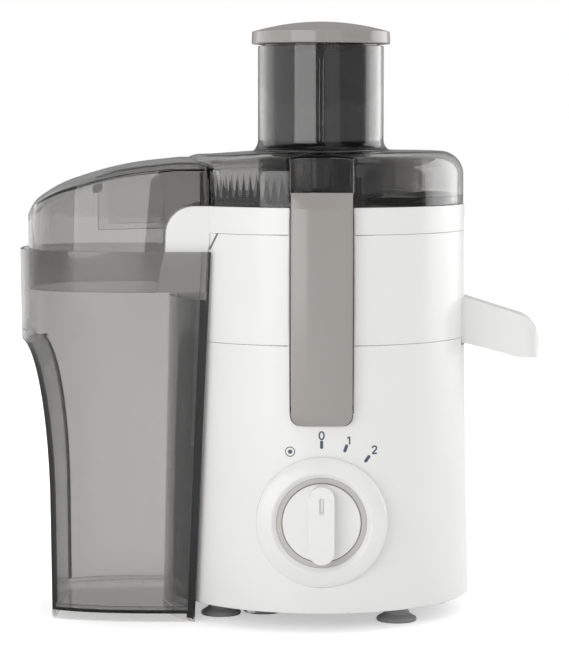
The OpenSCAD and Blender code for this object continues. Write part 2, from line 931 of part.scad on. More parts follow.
// Curved wall between the cheeks, just outside the collector shell
module chute_back() {
    intersection() {
        ring(body_r(hood_skirt_z) + 2.6, body_r(hood_skirt_z) + 0.8, hood_skirt_z, shell_top_z + 2.2);
        translate([-body_top_r - 17, -hood_b, hood_skirt_z])
            cube([body_top_r + 17, 2 * hood_b, 50]);
    }
    intersection() {
        ring(body_r(hood_skirt_z) + 2.6, body_top_r - 2, shell_top_z, shell_top_z + 2.2);
        translate([-body_top_r - 17, -hood_b, shell_top_z])
            cube([body_top_r + 17, 2 * hood_b, 5]);
    }
}

// Point on the rounded upper corner of a cheek, at angle a
function cheek_corner(r, a) = [11.9 - body_top_r + r * cos(a), rim_top_z - 16 + r * sin(a)];

// Side outline of a cheek, (X, Z)
module cheek_outline() {
    r = body_top_r;
    polygon(concat(
        [[33 - r, rim_top_z], [33 - r, shell_top_z], [23.5 - r, shell_top_z], [19.1 - r, shell_top_z - 10.5],
            [17.7 - r, hood_skirt_z], [-r - 9.6, hood_skirt_z], [-r - 4.5, hood_skirt_z + 23]],
        [for (a = [168:-8:96]) cheek_corner(16, a)]));
}

module chute_cheek(s) {
    y = s * (hood_b - cheek_t / 2);
    difference() {
        translate([0, y, 0])
            rotate([90, 0, 0])
                linear_extrude(height = cheek_t, center = true)
                    cheek_outline();
        translate([0, 0, hood_skirt_z - 1])
            cylinder(r = body_r(hood_skirt_z) + 0.1, h = shell_top_z - hood_skirt_z + 1);
    }
}

// ---------- lid ----------

// Height of the hood ridge along X: level near the tube, falling toward the bin's far side
function hood_top(x) =
    let (t = max(0, (-30 - x) / (hood_a - oval_x - 30)))
    hood_ridge_z - 8.5 * pow(t, 1.6) - 30.5 * pow(t, 7);

// Half width of the oval plan at x
function oval_half(x, a, b) =
    x > oval_x ? b : b * pow(max(0, 1 - pow((oval_x - x) / a, oval_power)), 1 / oval_power);

// Cross-section of the hood at x, shrunk by t: upright sides and a crowned top
module hood_slice(x, t, z0) {
    b = max(0.4, oval_half(x, hood_a - t, hood_b - t));
    top = hood_top(x) - t;
    crown = 8 * b / hood_b;
    translate([x, 0, 0])
        rotate([90, 0, 90])
            linear_extrude(height = 0.02)
                polygon(concat([[-b, z0], [b, z0]],
                    [for (i = [0:crown_steps]) let (a = i * 180 / crown_steps)
                        [b * cos(a), top - crown + crown * pow(sin(a), 0.8) - (sin(a) < 0.01 ? 3 : 0)]]));
}

// Solid hood, one convex shape through its cross-sections
module hood_solid(t, z0) {
    hull()
        for (i = [0:hood_steps])
            hood_slice(oval_x - (hood_a - t) * sin(i * 90 / hood_steps) + (i == hood_steps ? 0.01 : 0), t, z0);
    hull() {
        hood_slice(oval_x, t, z0);
        hood_slice(oval_x + 22, t, z0);
        hood_slice(oval_x + 38, t, z0);
    }
}

module lid() {
    top_in = lid_top_z - clear_wall;
    color(smoke)
    difference() {
        union() {
            difference() {
                union() {
                    lid_shell_solid(0, rim_top_z);
                    difference() {
                        hood_solid(0, hood_skirt_z);
                        translate([0, 0, hood_skirt_z - 1])
                            cylinder(r = lid_r - 2, h = rim_top_z - hood_skirt_z + 1);
                        hood_cut();
                    }
                }
                difference() {
                    union() {
                        lid_shell_solid(clear_wall, rim_top_z - 1);
                        hood_solid(clear_wall, hood_skirt_z - 1);
                    }
                    lid_pocket_block();
                    // guide walls of the pulp chute, hanging from the roof
                    for (s = [-1, 1])
                        translate([oval_x - 43.7, s * guide_y - 1, hood_skirt_z + 36])
                            cube([57.7, 2, lid_h + 30]);
                    // ends of the round wall on both sides of the chute
                    intersection() {
                        ring(lid_r, lid_r - clear_wall, rim_top_z, lid_top_z);
                        for (s = [-1, 1])
                            translate([oval_x, s * 53.4 - 7, rim_top_z])
                                cube([40, 14, lid_h]);
                    }
                }
            }
            // seat ring on the collector rim
            difference() {
                ring(lid_r, lid_r - 6.2, rim_top_z, rim_top_z + 4.8);
                translate([oval_x - 38, -hood_b, rim_top_z - 1])
                    cube([75, 2 * hood_b, 8]);
            }
            // feed tube with its blend
            rotate_extrude()
                polygon(concat([[tube_in, tube_bottom_z], [tube_r, tube_bottom_z],
                    [tube_r, top_in], [tube_r + tube_blend, top_in]],
                    [for (a = [0:15:90]) [tube_r + tube_blend * (1 - sin(a)),
                        lid_top_z + tube_blend * (1 - cos(a))]],
                    [[tube_r, tube_top_z], [tube_in, tube_top_z]]));
        }
        translate([0, 0, tube_bottom_z - 1])
            cylinder(r = tube_in, h = tube_top_z);
        lid_pocket();
    }
    // key rib inside the feed tube
    color(smoke)
    translate([-1, -tube_in - 0.3, tube_bottom_z])
        cube([2, 1.5, tube_top_z - 8 - tube_bottom_z]);
}

// Outline of the round part of the lid, shrunk by t
module lid_shell_solid(t, z0) {
    r = lid_r - t;
    e = lid_edge_r - t;
    top = lid_top_z - t;
    rotate_extrude()
        polygon(concat([[0, z0], [r, z0]],
            [for (a = [0:10:90]) [r - e + e * cos(a), top - e + e * sin(a)]], [[0, top]]));
}

// Part of the hood above the white cheeks, cut away to leave them in view
module hood_cut() {
    for (s = [-1, 1])
        translate([0, s * (hood_b - 1), 0])
            rotate([90, 0, 0])
                linear_extrude(height = 6, center = true)
                    polygon(concat(
                        [[43 - body_top_r, rim_top_z], [43 - body_top_r, hood_skirt_z - 2],
                            [-body_top_r - 10.1, hood_skirt_z - 2], [-body_top_r - 4.9, hood_skirt_z + 23]],
                        [for (a = [168:-8:88]) cheek_corner(16.4, a)]));
    // open toward the sieve, inside the cheeks
    translate([5.1 - body_top_r, -hood_b + 3.5, hood_skirt_z - 2])
        cube([60, 2 * hood_b - 7, rim_top_z - hood_skirt_z + 2]);
}

// Recess for the clamp hook, with its sloped seat
module lid_pocket() {
    both_sides()
        side_plate(2 * pocket_hw)
            polygon([[seat_u, lid_top_z + 5], [seat_u, seat_z],
                [lid_r + 2, seat_z - seat_slope * (lid_r + 2 - seat_u)], [lid_r + 2, lid_top_z + 5]]);
}

module lid_pocket_block() {
    both_sides()
        translate([-pocket_hw - clear_wall, -lid_r - 1, rim_top_z - 2])
            cube([2 * (pocket_hw + clear_wall), lid_r + 1 - seat_u + clear_wall, 60]);
}

// ---------- pusher ----------

module pusher_body() {
    color(smoke)
    difference() {
        ring(pusher_r, pusher_r - clear_wall, tube_bottom_z + 1, tube_top_z + 5);
        translate([-1.6, -pusher_r - 1, tube_bottom_z])
            cube([3.2, 2.4, tube_top_z]);
    }
    color(smoke)
    difference() {
        ring(pusher_r - 0.5, 0, tube_bottom_z + 1, tube_bottom_z + 3.4);
        translate([-1.6, -pusher_r - 1, tube_bottom_z])
            cube([3.2, 2.4, 9]);
    }
}

module pusher_cap() {
    z0 = tube_top_z + 1;
    dome = 5.8;
    color(warm_grey)
    rotate_extrude()
        polygon(concat([[0, z0 + 4], [pusher_r - clear_wall - 2.5, z0 + 4],
            [pusher_r - clear_wall - 2.5, z0 - 4], [pusher_r - clear_wall, z0 - 4],
            [pusher_r - clear_wall, z0 + 4], [cap_r - 2.4, z0 + 4], [cap_r - 2.4, z0], [cap_r - 0.4, z0],
            [cap_r, z0 + 0.6]],
            [for (i = [0:8]) let (u = i / 8) [(cap_r - 0.3) * (1 - u), z0 + cap_h - dome * pow(1 - u, 2)]]));
}

// ---------- dial and knob ----------

module control_knob() {
    face = collar_face + 1;
    color(white)
    difference() {
        union() {
            dial_turned()
                polygon([[0, collar_face - 2.1], [knob_r, collar_face - 2.1], [knob_r, face - 0.6],
                    [knob_r - 0.6, face], [0, face]]);
            translate([0, -face + 0.5, dial_z])
                rotate([90, 0, 0])
                    linear_extrude(height = grip_h + 0.5)
                        grip_outline(0);
        }
        translate([0, -face - grip_h + 0.6, dial_z + 10.4])
            rotate([90, 0, 0])
                linear_extrude(height = 2)
                    square([2.4, 8.8], center = true);
        translate([0, -face - 2, dial_z])
            rotate([-90, 0, 0])
                cylinder(r = spindle_r, h = 12);
    }
}

// Rounded bar across the knob
module grip_outline(t) {
    end = knob_r - grip_w / 2 - 0.2;
    for (s = [-1, 1])
        translate([0, s * end])
            circle(r = grip_w / 2 - t);
    square([grip_w - 2 * t, 2 * end], center = true);
}

module knob_spindle() {
    color(steel)
    translate([0, -collar_face + 16, dial_z])
        rotate([90, 0, 0])
            cylinder(r = spindle_r, h = 19);
}

// ---------- clamps ----------

// Clamp on the -Y side, closed
module clamp() {
    hook_u = seat_u + 0.8;
    seat = seat_z + 0.45;
    color(warm_grey)
    difference() {
        union() {
            intersection() {
                side_plate(2 * clamp_hw)
                    polygon([[clamp_back_u, pivot_z], [pivot_u + barrel_r, pivot_z],
                        [pivot_u + barrel_r + 0.1, pivot_z + 2.1], [clamp_face, pivot_z + 7],
                        [clamp_face, clamp_top_z - 8], [clamp_face - 2.2, clamp_top_z], [hook_u, clamp_top_z],
                        [hook_u, seat - seat_slope * (hook_u - seat_u)],
                        [lid_r + 0.6, seat - seat_slope * (lid_r + 0.6 - seat_u)],
                        [lid_r + 0.6, rim_top_z - 1], [clamp_back_u, rim_top_z - 1]]);
                // front face that follows the round of the drum
                translate([0, 0, pivot_z - 1])
                    cylinder(r = clamp_face, h = clamp_top_z - pivot_z + 2, $fn = 240);
            }
            pivot_barrel(0, clamp_hw);
        }
        // side corners that would catch in the pocket as the clamp swings
        for (s = [-1, 1])
            translate([s * (clamp_hw - 1), 0, 0])
                side_plate(2 * 3.4)
                    polygon([[pivot_u + 3, pivot_z - 0.01], [pivot_u + 3, pivot_z + 3],
                        [pivot_u + barrel_r + 0.2, pivot_z + 1], [pivot_u + barrel_r + 0.2, pivot_z - 0.01]]);
        // hollow back with a stiffening rib down the middle
        for (x = [-clamp_hw + 2.4, 1.6])
            translate([x, -clamp_face + 2.8, pivot_z + barrel_r + 2])
                cube([clamp_hw - 4, 20, rim_top_z - 6 - pivot_z - barrel_r]);
        translate([-clamp_hw - 1, -pivot_u, pivot_z])
            rotate([0, 90, 0])
                cylinder(r = pin_r + run_gap, h = 2 * clamp_hw + 2);
    }
}

module clamp_front() {
    clamp();
}

module clamp_back() {
    rotate([0, 0, 180])
        clamp();
}

// ---------- pulp bin ----------

// Distance of the bin's far side from the oval centre, at height z
function bin_reach(z) = bin_a - 2.8 * (bin_rim_z - z) / bin_rim_z;

// Oval plan of the bin at height z, shrunk by t
module bin_slice(z, t) {
    b = bin_foot_b + (bin_b - bin_foot_b) * z / bin_rim_z - t;
    a = bin_reach(z) - t;
    translate([0, 0, z])
        linear_extrude(height = 0.02)
            polygon(concat([[oval_x + 42, -b], [oval_x + 42, b]],
                [for (i = [0:bin_steps]) let (w = i * 180 / bin_steps)
                    [oval_x - a * pow(sin(w), 2 / oval_power),
                        b * sign(cos(w)) * pow(abs(cos(w)), 2 / oval_power)]]));
}

// Scooped outline of the far side, (X, Z), shrunk by t
module scoop_outline(t) {
    side = oval_x - bin_a;
    high = bin_rim_z - 52;
    polygon(concat([[side - 10, high + 17], [side + t, high + 8]],
        [for (i = [0:scoop_steps]) let (w = 90 * i / scoop_steps)
            [side + 2 + 17.6 * sin(w) + t, high - 100 * (1 - cos(w))]],
        [[side + 20.2 + t, -1], [side - 10, -1]]));
}

module bin_solid(t, z0, z1) {
    difference() {
        hull() {
            bin_slice(z0, t);
            bin_slice(z1, t);
        }
        rotate([90, 0, 0])
            linear_extrude(height = 2 * bin_b + 6, center = true)
                scoop_outline(t);
        rotate_extrude()
            polygon([[0, -1], [bin_hollow_r + bin_hollow_flare + t, -1], [bin_hollow_r + t, bin_rim_z],
                [bin_hollow_r + t, bin_rim_z + 2], [0, bin_rim_z + 2]]);
    }
}

module pulp_bin() {
    color(smoke)
    difference() {
        bin_solid(0, 0, bin_rim_z);
        bin_solid(2, bin_floor_z, bin_rim_z + 1);
        // recess under the floor leaves a foot rim
        bin_solid(2.5, -1, bin_floor_z - 2);
        // low middle of the hollow side, under the chute
        translate([-bin_hollow_r - bin_hollow_flare - 3, -bin_b + 2.6, bin_hollow_z])
            cube([50, 2 * bin_b - 5.2, bin_rim_z]);
    }
}

base_housing();
base_plate();
suction_feet();
base_screws();
cord_gland();
motor_stator();
field_coils();
upper_bracket();
lower_bracket();
upper_bearing();
lower_bearing();
motor_bolts();
motor_mounts();
mount_screws();
brush_holders();
carbon_brushes();
shaft_seal();
speed_board();
rotary_switch();
dial_ring();
interlock_switch();
clamp_pins();
interlock_plunger();
interlock_spring();
motor_shaft();
rotor_core();
rotor_windings();
commutator();
cooling_fan();
drive_coupling();
sieve_hub();
grater_disc();
sieve_mesh();
sieve_rim();
collector_bowl();
collector_rim();
lid();
pusher_body();
pusher_cap();
control_knob();
knob_spindle();
clamp_front();
clamp_back();
pulp_bin();
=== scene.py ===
"""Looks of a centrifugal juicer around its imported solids: mouldings with soft edges, smoke-clear lid and
pulp bin, printed dial, stainless sieve, motor, and a plain studio stage."""

import json
import math

import bmesh
import bpy
from bpy.props import FloatProperty, FloatVectorProperty, PointerProperty
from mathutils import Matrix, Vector


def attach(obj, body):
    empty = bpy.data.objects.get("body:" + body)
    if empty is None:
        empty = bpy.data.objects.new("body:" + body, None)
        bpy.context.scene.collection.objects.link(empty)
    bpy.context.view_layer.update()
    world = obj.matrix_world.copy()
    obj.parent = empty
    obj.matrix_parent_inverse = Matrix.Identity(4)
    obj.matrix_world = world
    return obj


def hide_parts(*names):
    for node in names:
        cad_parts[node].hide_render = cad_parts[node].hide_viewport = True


bl_info = {
    "name": "Centrifugal juicer",
    "version": (1, 0, 0),
    "blender": (4, 5, 0),
    "location": "3D View > Sidebar > Juicer",
    "description": "Builds the pieces of a centrifugal juicer around its solids",
    "category": "Add Mesh",
}

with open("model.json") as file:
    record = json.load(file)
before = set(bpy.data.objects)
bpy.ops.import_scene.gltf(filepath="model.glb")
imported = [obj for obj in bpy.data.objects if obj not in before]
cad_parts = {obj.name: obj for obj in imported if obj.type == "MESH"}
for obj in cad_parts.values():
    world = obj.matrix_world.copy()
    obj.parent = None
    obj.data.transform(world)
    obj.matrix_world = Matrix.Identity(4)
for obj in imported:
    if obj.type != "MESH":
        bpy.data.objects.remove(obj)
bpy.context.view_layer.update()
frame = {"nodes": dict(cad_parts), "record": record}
bodies = frame["record"]["behaviour"]["bodies"]
body_of_node = {n: b for b, nodes in bodies.items() for n in nodes}
MM = 0.001


def linear(hex_colour):
    """sRGB hex to linear RGB, the one place where colours are converted."""
    parts = [int(hex_colour[i : i + 2], 16) / 255 for i in (1, 3, 5)]
    return tuple(c / 12.92 if c <= 0.04045 else ((c + 0.055) / 1.055) ** 2.4 for c in parts)


def colour(name, hex_colour, description):
    return FloatVectorProperty(
        name=name, description=description, subtype="COLOR", size=3, min=0, max=1,
        default=linear(hex_colour),
    )


def length(name, metres, description):
    return FloatProperty(name=name, description=description, default=metres, unit="LENGTH")


def angle(name, degrees, description):
    return FloatProperty(name=name, description=description, default=math.radians(degrees), unit="ROTATION")


# ---------------------------------------------------------------- settings


class JuicerColours(bpy.types.PropertyGroup):
    """Colours of the mouldings and metals."""

    white: colour("White ABS", "#f1f1f0", "Drum, collector, rim and knob")
    clamp: colour("Clamp grey", "#a09b97", "Warm grey of the clamps and the pusher cap")
    dial: colour("Dial grey", "#c6c4c0", "Ring around the knob")
    print: colour("Print", "#4d5863", "Marks printed around the dial")
    # paler than the rubber itself: painted light where the feet stand in shade
    rubber: colour("Foot rubber", "#9c9c9e", "Suction feet")


class JuicerSizes(bpy.types.PropertyGroup):
    """Sizes that the looks share."""

    clear_edge: length("Clear edge", 0.0004, "Radius of the edges of the clear mouldings")
    drum_radius: length("Drum radius", 0.0831, "Outer radius of the drum at its rim")
    drum_flare: length("Drum flare", 0.0032, "How much wider the drum is at its foot")
    rim_height: length("Rim height", 0.2355, "Top of the white collector rim")
    foot_height: length("Foot height", 0.0107, "Lower edge of the drum above the table")
    dial_height: length("Dial height", 0.0617, "Centre of the dial above the table")
    bin_height: length("Bin height", 0.210, "Rim of the pulp bin")
    bin_floor: length("Bin floor", 0.0065, "Upper face of the pulp bin's floor")
    hole_pitch: length("Sieve hole pitch", 0.0028, "Spacing of the strainer's holes around its rim")
    eye_side: length("Eye side", -0.012, "Camera to the right of the motor axis")
    eye_distance: length("Eye distance", 1.56, "Camera in front of the motor axis")
    eye_height: length("Eye height", 0.287, "Camera above the table")
    eye_tilt: angle("Eye tilt", 4.54, "How far the camera looks down")
    eye_turn: angle("Eye turn", 0.33, "How far the camera looks to its left")


# ---------------------------------------------------------------- material tools


def node(tree, kind, settings=None, links=None):
    """Adds a node with its settings and links; a link from a node starts at that node's first output."""
    n = tree.nodes.new(kind)
    for key, value in (settings or {}).items():
        if isinstance(key, int) or key in n.inputs:
            n.inputs[key].default_value = value
        else:
            setattr(n, key, value)
    for key, source in (links or {}).items():
        tree.links.new(getattr(source, "outputs", [source])[0], n.inputs[key])
    return n


def new_material(name):
    """Material by name, with its empty tree where it is new and None where it is already made."""
    m = bpy.data.materials.get(name)
    if m:
        return m, None
    m = bpy.data.materials.new(name)
    m.use_nodes = True
    m.node_tree.nodes.clear()
    return m, m.node_tree


def plastic(name, rgb, roughness, grain_mm=0.4, bump=0.02, mottle=0.015):
    """Moulded thermoplastic: faint orange peel from the tool, slight unevenness of gloss."""
    m, t = new_material(name)
    if t is None:
        return m
    where = node(t, "ShaderNodeTexCoord").outputs["Object"]
    peel = node(t, "ShaderNodeTexNoise", {"Scale": 1000 / grain_mm / 6, "Detail": 2.0}, {"Vector": where})
    broad = node(t, "ShaderNodeTexNoise", {"Scale": 30.0, "Detail": 2.0}, {"Vector": where})
    rough = node(t, "ShaderNodeMapRange", {"To Min": roughness * 0.85, "To Max": roughness * 1.15},
                 {"Value": broad})
    darker = [c * (1 - mottle) for c in rgb]
    paler = [min(1, c * (1 + mottle)) for c in rgb]
    shade = node(t, "ShaderNodeMixRGB", {"blend_type": "MIX", "Color1": (*darker, 1), "Color2": (*paler, 1)},
                 {"Fac": broad})
    relief = node(t, "ShaderNodeBump", {"Strength": bump, "Distance": 0.0002}, {"Height": peel})
    shader = node(t, "ShaderNodeBsdfPrincipled", {"IOR": 1.54},
                  {"Base Color": shade, "Roughness": rough, "Normal": relief})
    node(t, "ShaderNodeOutputMaterial", links={"Surface": shader})
    return m


def white_abs():
    """Glossy white ABS, injection moulded: soft broad highlights over a faint orange peel."""
    return plastic("abs_white_moulded", scene_colours().white, 0.24, 0.5, 0.03)


def warm_grey_abs():
    """Satin warm grey ABS: the clamps and the cap are a little duller than the drum."""
    return plastic("abs_warm_grey_moulded", scene_colours().clamp, 0.12, 0.4, 0.02)


def dial_grey_abs():
    """Matt pale grey ABS of the dial ring, also used for the line of painted shade round the knob's pointer.
    """
    return plastic("abs_dial_grey_moulded", scene_colours().dial, 0.34, 0.4, 0.04)


def rubber():
    """Moulded nitrile rubber: dull, with a dusty mottled skin."""
    return plastic("rubber_grey_moulded", scene_colours().rubber, 0.62, 0.6, 0.15, 0.06)


def black_nylon():
    """Glass-filled nylon, black and dull: holders, switches, fan and couplings."""
    return plastic("nylon_black_moulded", linear("#232325"), 0.45, 0.5, 0.1, 0.05)


def natural_nylon():
    """Undyed nylon, cream and waxy: plunger and sieve rim."""
    return plastic("nylon_natural_moulded", linear("#dedacd"), 0.4, 0.5, 0.08, 0.03)


def smoke_clear(piece, tint, density):
    """Smoke-tinted SAN from a polished tool: clear and glossy, darker where the eye looks along a wall."""
    m, t = new_material("san_smoke_clear_" + piece)
    if t is None:
        return m
    where = node(t, "ShaderNodeTexCoord").outputs["Object"]
    flow = node(t, "ShaderNodeTexNoise", {"Scale": 14.0, "Detail": 1.0}, {"Vector": where})
    rough = node(t, "ShaderNodeMapRange", {"To Min": 0.01, "To Max": 0.03}, {"Value": flow})
    smoke = (tint, tint * 0.994, tint * 0.988, 1)
    shader = node(t, "ShaderNodeBsdfPrincipled",
                  {"Base Color": smoke, "IOR": 1.55, "Transmission Weight": 1.0}, {"Roughness": rough})
    absorb = node(t, "ShaderNodeVolumeAbsorption", {"Color": (0.41, 0.40, 0.395, 1), "Density": density})
    node(t, "ShaderNodeOutputMaterial", links={"Surface": shader, "Volume": absorb})
    return m


def painted_shadow_line():
    """Deep grey, dull ring sunk in a joint: painted shade standing in for the shadow in the gap."""
    return plastic("painted_shadow_grey", linear("#6d6e70"), 0.6, 0.5, 0.05)


def print_ink():
    """Pad-printed slate ink: flat, slightly duller than the ABS beneath."""
    return plastic("ink_pad_printed", scene_colours().print, 0.5, 0.3, 0.05)


def stainless():
    """Rolled stainless sheet, bright, with fine lines along the rolling."""
    return metal("stainless_rolled_sheet", linear("#d2d3d4"), 0.24, (1, 1, 8))


def metal(name, rgb, roughness, streak=(1, 1, 1)):
    """Rolled, turned or plated metal: fine lines along the working direction."""
    m, t = new_material(name)
    if t is None:
        return m
    where = node(t, "ShaderNodeTexCoord").outputs["Object"]
    turn = node(t, "ShaderNodeMapping", {"Scale": streak}, {"Vector": where})
    lines = node(t, "ShaderNodeTexNoise", {"Scale": 400.0, "Detail": 3.0}, {"Vector": turn})
    rough = node(t, "ShaderNodeMapRange", {"To Min": roughness * 0.7, "To Max": roughness * 1.3},
                 {"Value": lines})
    relief = node(t, "ShaderNodeBump", {"Strength": 0.05, "Distance": 0.0001}, {"Height": lines})
    shader = node(t, "ShaderNodeBsdfPrincipled", {"Base Color": (*rgb, 1), "Metallic": 1.0},
                  {"Roughness": rough, "Normal": relief})
    node(t, "ShaderNodeOutputMaterial", links={"Surface": shader})
    return m


def seen_directly(tree):
    """Light path, and a value that is 1 for what is seen by the camera or through glass."""
    path = node(tree, "ShaderNodeLightPath")
    seen = node(tree, "ShaderNodeMath", {"operation": "MAXIMUM"},
                {0: path.outputs["Is Camera Ray"], 1: path.outputs["Is Transmission Ray"]})
    return path, seen


def scene_colours():
    return bpy.context.scene.juicer_colours


def scene_sizes():
    return bpy.context.scene.juicer_sizes


# ---------------------------------------------------------------- mesh tools


def smooth(mesh, degrees):
    mesh.shade_smooth()
    mesh.set_sharp_from_angle(angle=math.radians(degrees))


def new_object(name, mesh, material):
    mesh.name = name
    mesh.materials.clear()
    mesh.materials.append(material)
    obj = bpy.data.objects.new(name, mesh)
    bpy.context.scene.collection.objects.link(obj)
    return obj


def apply_modifiers(obj):
    deps = bpy.context.evaluated_depsgraph_get()
    ready = obj.evaluated_get(deps)
    done = bpy.data.meshes.new_from_object(ready, preserve_all_data_layers=True, depsgraph=deps)
    obj.modifiers.clear()
    old = obj.data
    obj.data = done
    bpy.data.meshes.remove(old)


def carry(obj, node_name):
    """Rides the piece on the node's body."""
    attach(obj, body_of_node[node_name])


def place(obj, node_name):
    """Rides the piece on the node's body and lets it stand for that node."""
    carry(obj, node_name)
    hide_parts(node_name)
    return obj


def refinish(node_name, material):
    """Gives a solid that stays as it is the material of the real piece."""
    for slot in frame["nodes"][node_name].material_slots:
        slot.material = material


def softened(node_name, material, bevel_mm, segments=2, limit=35, wide_mm=0, wide=None, merge_mm=0.002):
    """Copy of a solid with merged vertices, flat faces joined and its edges rounded, some of them wider."""
    mesh = frame["nodes"][node_name].data.copy()
    bm = bmesh.new()
    bm.from_mesh(mesh)
    bmesh.ops.remove_doubles(bm, verts=bm.verts, dist=merge_mm * MM)
    bmesh.ops.dissolve_limit(bm, angle_limit=math.radians(0.6), verts=bm.verts, edges=bm.edges,
                             use_dissolve_boundaries=False)
    widest = max(bevel_mm, wide_mm)
    crowded = {v for e in bm.edges if e.calc_length() < 0.3 * bevel_mm * MM for v in e.verts}
    weight = bm.edges.layers.float.new("bevel_weight_edge")
    for e in bm.edges:
        sharp = len(e.link_faces) == 2 and e.calc_face_angle(0) > math.radians(limit)
        if sharp and not crowded.intersection(e.verts) and not cheek_corner(e):
            e[weight] = (wide_mm if wide and wide(e) else bevel_mm) / widest
    bm.to_mesh(mesh)
    bm.free()
    if "custom_normal" in mesh.attributes:
        mesh.attributes.remove(mesh.attributes["custom_normal"])
    obj = new_object(node_name + "_moulding", mesh, material)
    smooth(mesh, 28)
    b = obj.modifiers.new("soft", "BEVEL")
    b.width = widest * MM
    b.segments = segments
    b.limit_method = "WEIGHT"
    b.harden_normals = True
    b.use_clamp_overlap = merge_mm < 0.1  # short edges, left by a fine merge, would be torn without it
    b.miter_outer = "MITER_ARC"
    apply_modifiers(obj)
    obj.data.shade_smooth()
    return place(obj, node_name)


def cheek_corner(e):
    """Whether an edge meets the corner between cheek and rim, where a rounding would leave a speck."""
    x, y, foot = -0.061, 0.055, 0.2275
    return any(abs(v.co.x - x) < 0.0022 and abs(abs(v.co.y) - y) < 0.007 and v.co.z > foot for v in e.verts)


def recess_edge(e):
    """Whether an edge runs up one side of the mouth of a clamp's recess, on the drum's front or back."""
    for v in e.verts:
        x, y, z = (c / MM for c in v.co)
        out = math.hypot(x, y) - math.hypot(*drum_surface(0, v.co.z, 0)[:2]) / MM
        if not (15 <= abs(x) < 18.6 and abs(y) > 78 and abs(out) < 0.25 and 124 <= z < 235.4):
            return False
    a, b = (v.co.z / MM for v in e.verts)
    # edges along the two seams of the drum cross the recess's side and keep the small radius
    return abs(a - b) > 0.02 or abs(a - 159.3) > 1 and abs(a - 220.4) > 1


def from_rings(name, rings, material):
    """Piece from a bmesh whose points are given one by one, merged and with its faces turned outward."""
    bmesh.ops.remove_doubles(rings, verts=rings.verts, dist=1e-5)
    bmesh.ops.recalc_face_normals(rings, faces=rings.faces)
    mesh = bpy.data.meshes.new(name)
    rings.to_mesh(mesh)
    rings.free()
    return new_object(name, mesh, material)


def rounded(obj, radius, segments=3, limit=30, crease=15):
    """Smooth shading with rounded edges where faces meet at more than the limit."""
    smooth(obj.data, crease)
    b = obj.modifiers.new("soft", "BEVEL")
    b.width = radius
    b.segments = segments
    b.limit_method = "ANGLE"
    b.angle_limit = math.radians(limit)
    b.harden_normals = True
    apply_modifiers(obj)
    return obj


def roof_drop(x, z):
    """How far the lid's roof is lowered at x and z, in mm, so that the hood runs on in one curve."""
    knots = ((-172, -5.5), (-165, -5.0), (-162, -3.8), (-157, -1.6), (-151, 0.0), (-145, 1.3),
             (-138, 2.5), (-130, 2.8), (-117, 2.3), (-105, 1.6), (-93, 1.3), (-84, 0.8), (-76, 1.2),
             (-66, 2.0), (-52, 1.8), (-40, 1.0), (-30, 0.0), (200, 0.0))
    hood_end, tube_foot, fade = -86, 268.0, 22.0
    low = 212.0 if x < hood_end else 238.0
    part = min(1.0, max(0.0, (z - low) / fade))
    for (x0, d0), (x1, d1) in zip(knots, knots[1:]):
        if x0 <= x <= x1 and z < tube_foot:
            return part * (d0 + (d1 - d0) * (x - x0) / (x1 - x0))
    return 0.0


def frame_front(node_name):
    """Y of the solid's foremost face."""
    return min(v.co.y for v in frame["nodes"][node_name].data.vertices)


def drum_surface(x, z, lift):
    """Point on the front of the drum at x and z, lifted off it; all in metres."""
    size = scene_sizes()
    part = (size.rim_height - z) / (size.rim_height - size.foot_height)
    r = size.drum_radius + size.drum_flare * part * part + lift
    return (x, -math.sqrt(r * r - x * x), z)


def printed_line(bm, path, width, closed=False, way=1, pill=False):
    """Thin raised line along (x, z) points in mm on the drum's front, or on its back where way is -1."""
    proud, sunk = 0.05, -0.2
    taper = [1.0] * len(path)
    if pill:  # round ends, drawn as steps along the first and the last half width
        first, last, r = Vector(path[0]), Vector(path[-1]), width / 2
        run = (last - first).normalized()
        ends = (0.06, 0.25, 0.55, 1.0)
        path = [first + run * r * e for e in ends] + [last - run * r * e for e in reversed(ends)]
        taper = [math.sqrt(1 - (1 - e) ** 2) for e in ends]
        taper += taper[::-1]
    count = len(path)
    rows = []
    for i, (x, z) in enumerate(path):
        before = path[i - 1] if closed or i > 0 else path[i]
        after = path[(i + 1) % count] if closed or i < count - 1 else path[i]
        along = Vector((after[0] - before[0], after[1] - before[1])).normalized()
        side = Vector((-along.y, along.x)) * width / 2 * taper[i]
        row = []
        for s, lift in ((1, proud), (-1, proud), (-1, sunk), (1, sunk)):
            px, py, pz = drum_surface((x + s * side.x) * MM, (z + s * side.y) * MM, lift * MM)
            row.append(bm.verts.new((px, py * way, pz)))
        rows.append(row)
    join_rows(bm, rows, closed)


def join_rows(bm, rows, closed):
    """Skin along rows that go once round a section, with both ends filled where the run isn't closed."""
    count = len(rows[0])
    pairs = list(zip(rows, rows[1:])) + ([(rows[-1], rows[0])] if closed else [])
    for a, b in pairs:
        for k in range(count):
            j = (k + 1) % count
            bm.faces.new((a[k], a[j], b[j], b[k]))
    if not closed:
        bm.faces.new(rows[0][::-1])
        bm.faces.new(rows[-1])


def turned_row(bm, outline, degrees):
    """One row of an (r, z) outline, in metres, turned about the motor axis."""
    a = math.radians(degrees)
    return [bm.verts.new((r * math.cos(a), r * math.sin(a), z)) for r, z in outline]


# ---------------------------------------------------------------- geometry nodes


def repeat_tree(name, inputs):
    """Empty node tree with named inputs for sizes, and its group input and output nodes."""
    tree = bpy.data.node_groups.new(name, "GeometryNodeTree")
    tree.interface.new_socket("Geometry", in_out="INPUT", socket_type="NodeSocketGeometry")
    tree.interface.new_socket("Geometry", in_out="OUTPUT", socket_type="NodeSocketGeometry")
    for label, value in inputs.items():
        kind = "NodeSocketInt" if isinstance(value, int) else "NodeSocketFloat"
        tree.interface.new_socket(label, in_out="INPUT", socket_type=kind).default_value = value
    return tree, node(tree, "NodeGroupInput"), node(tree, "NodeGroupOutput")


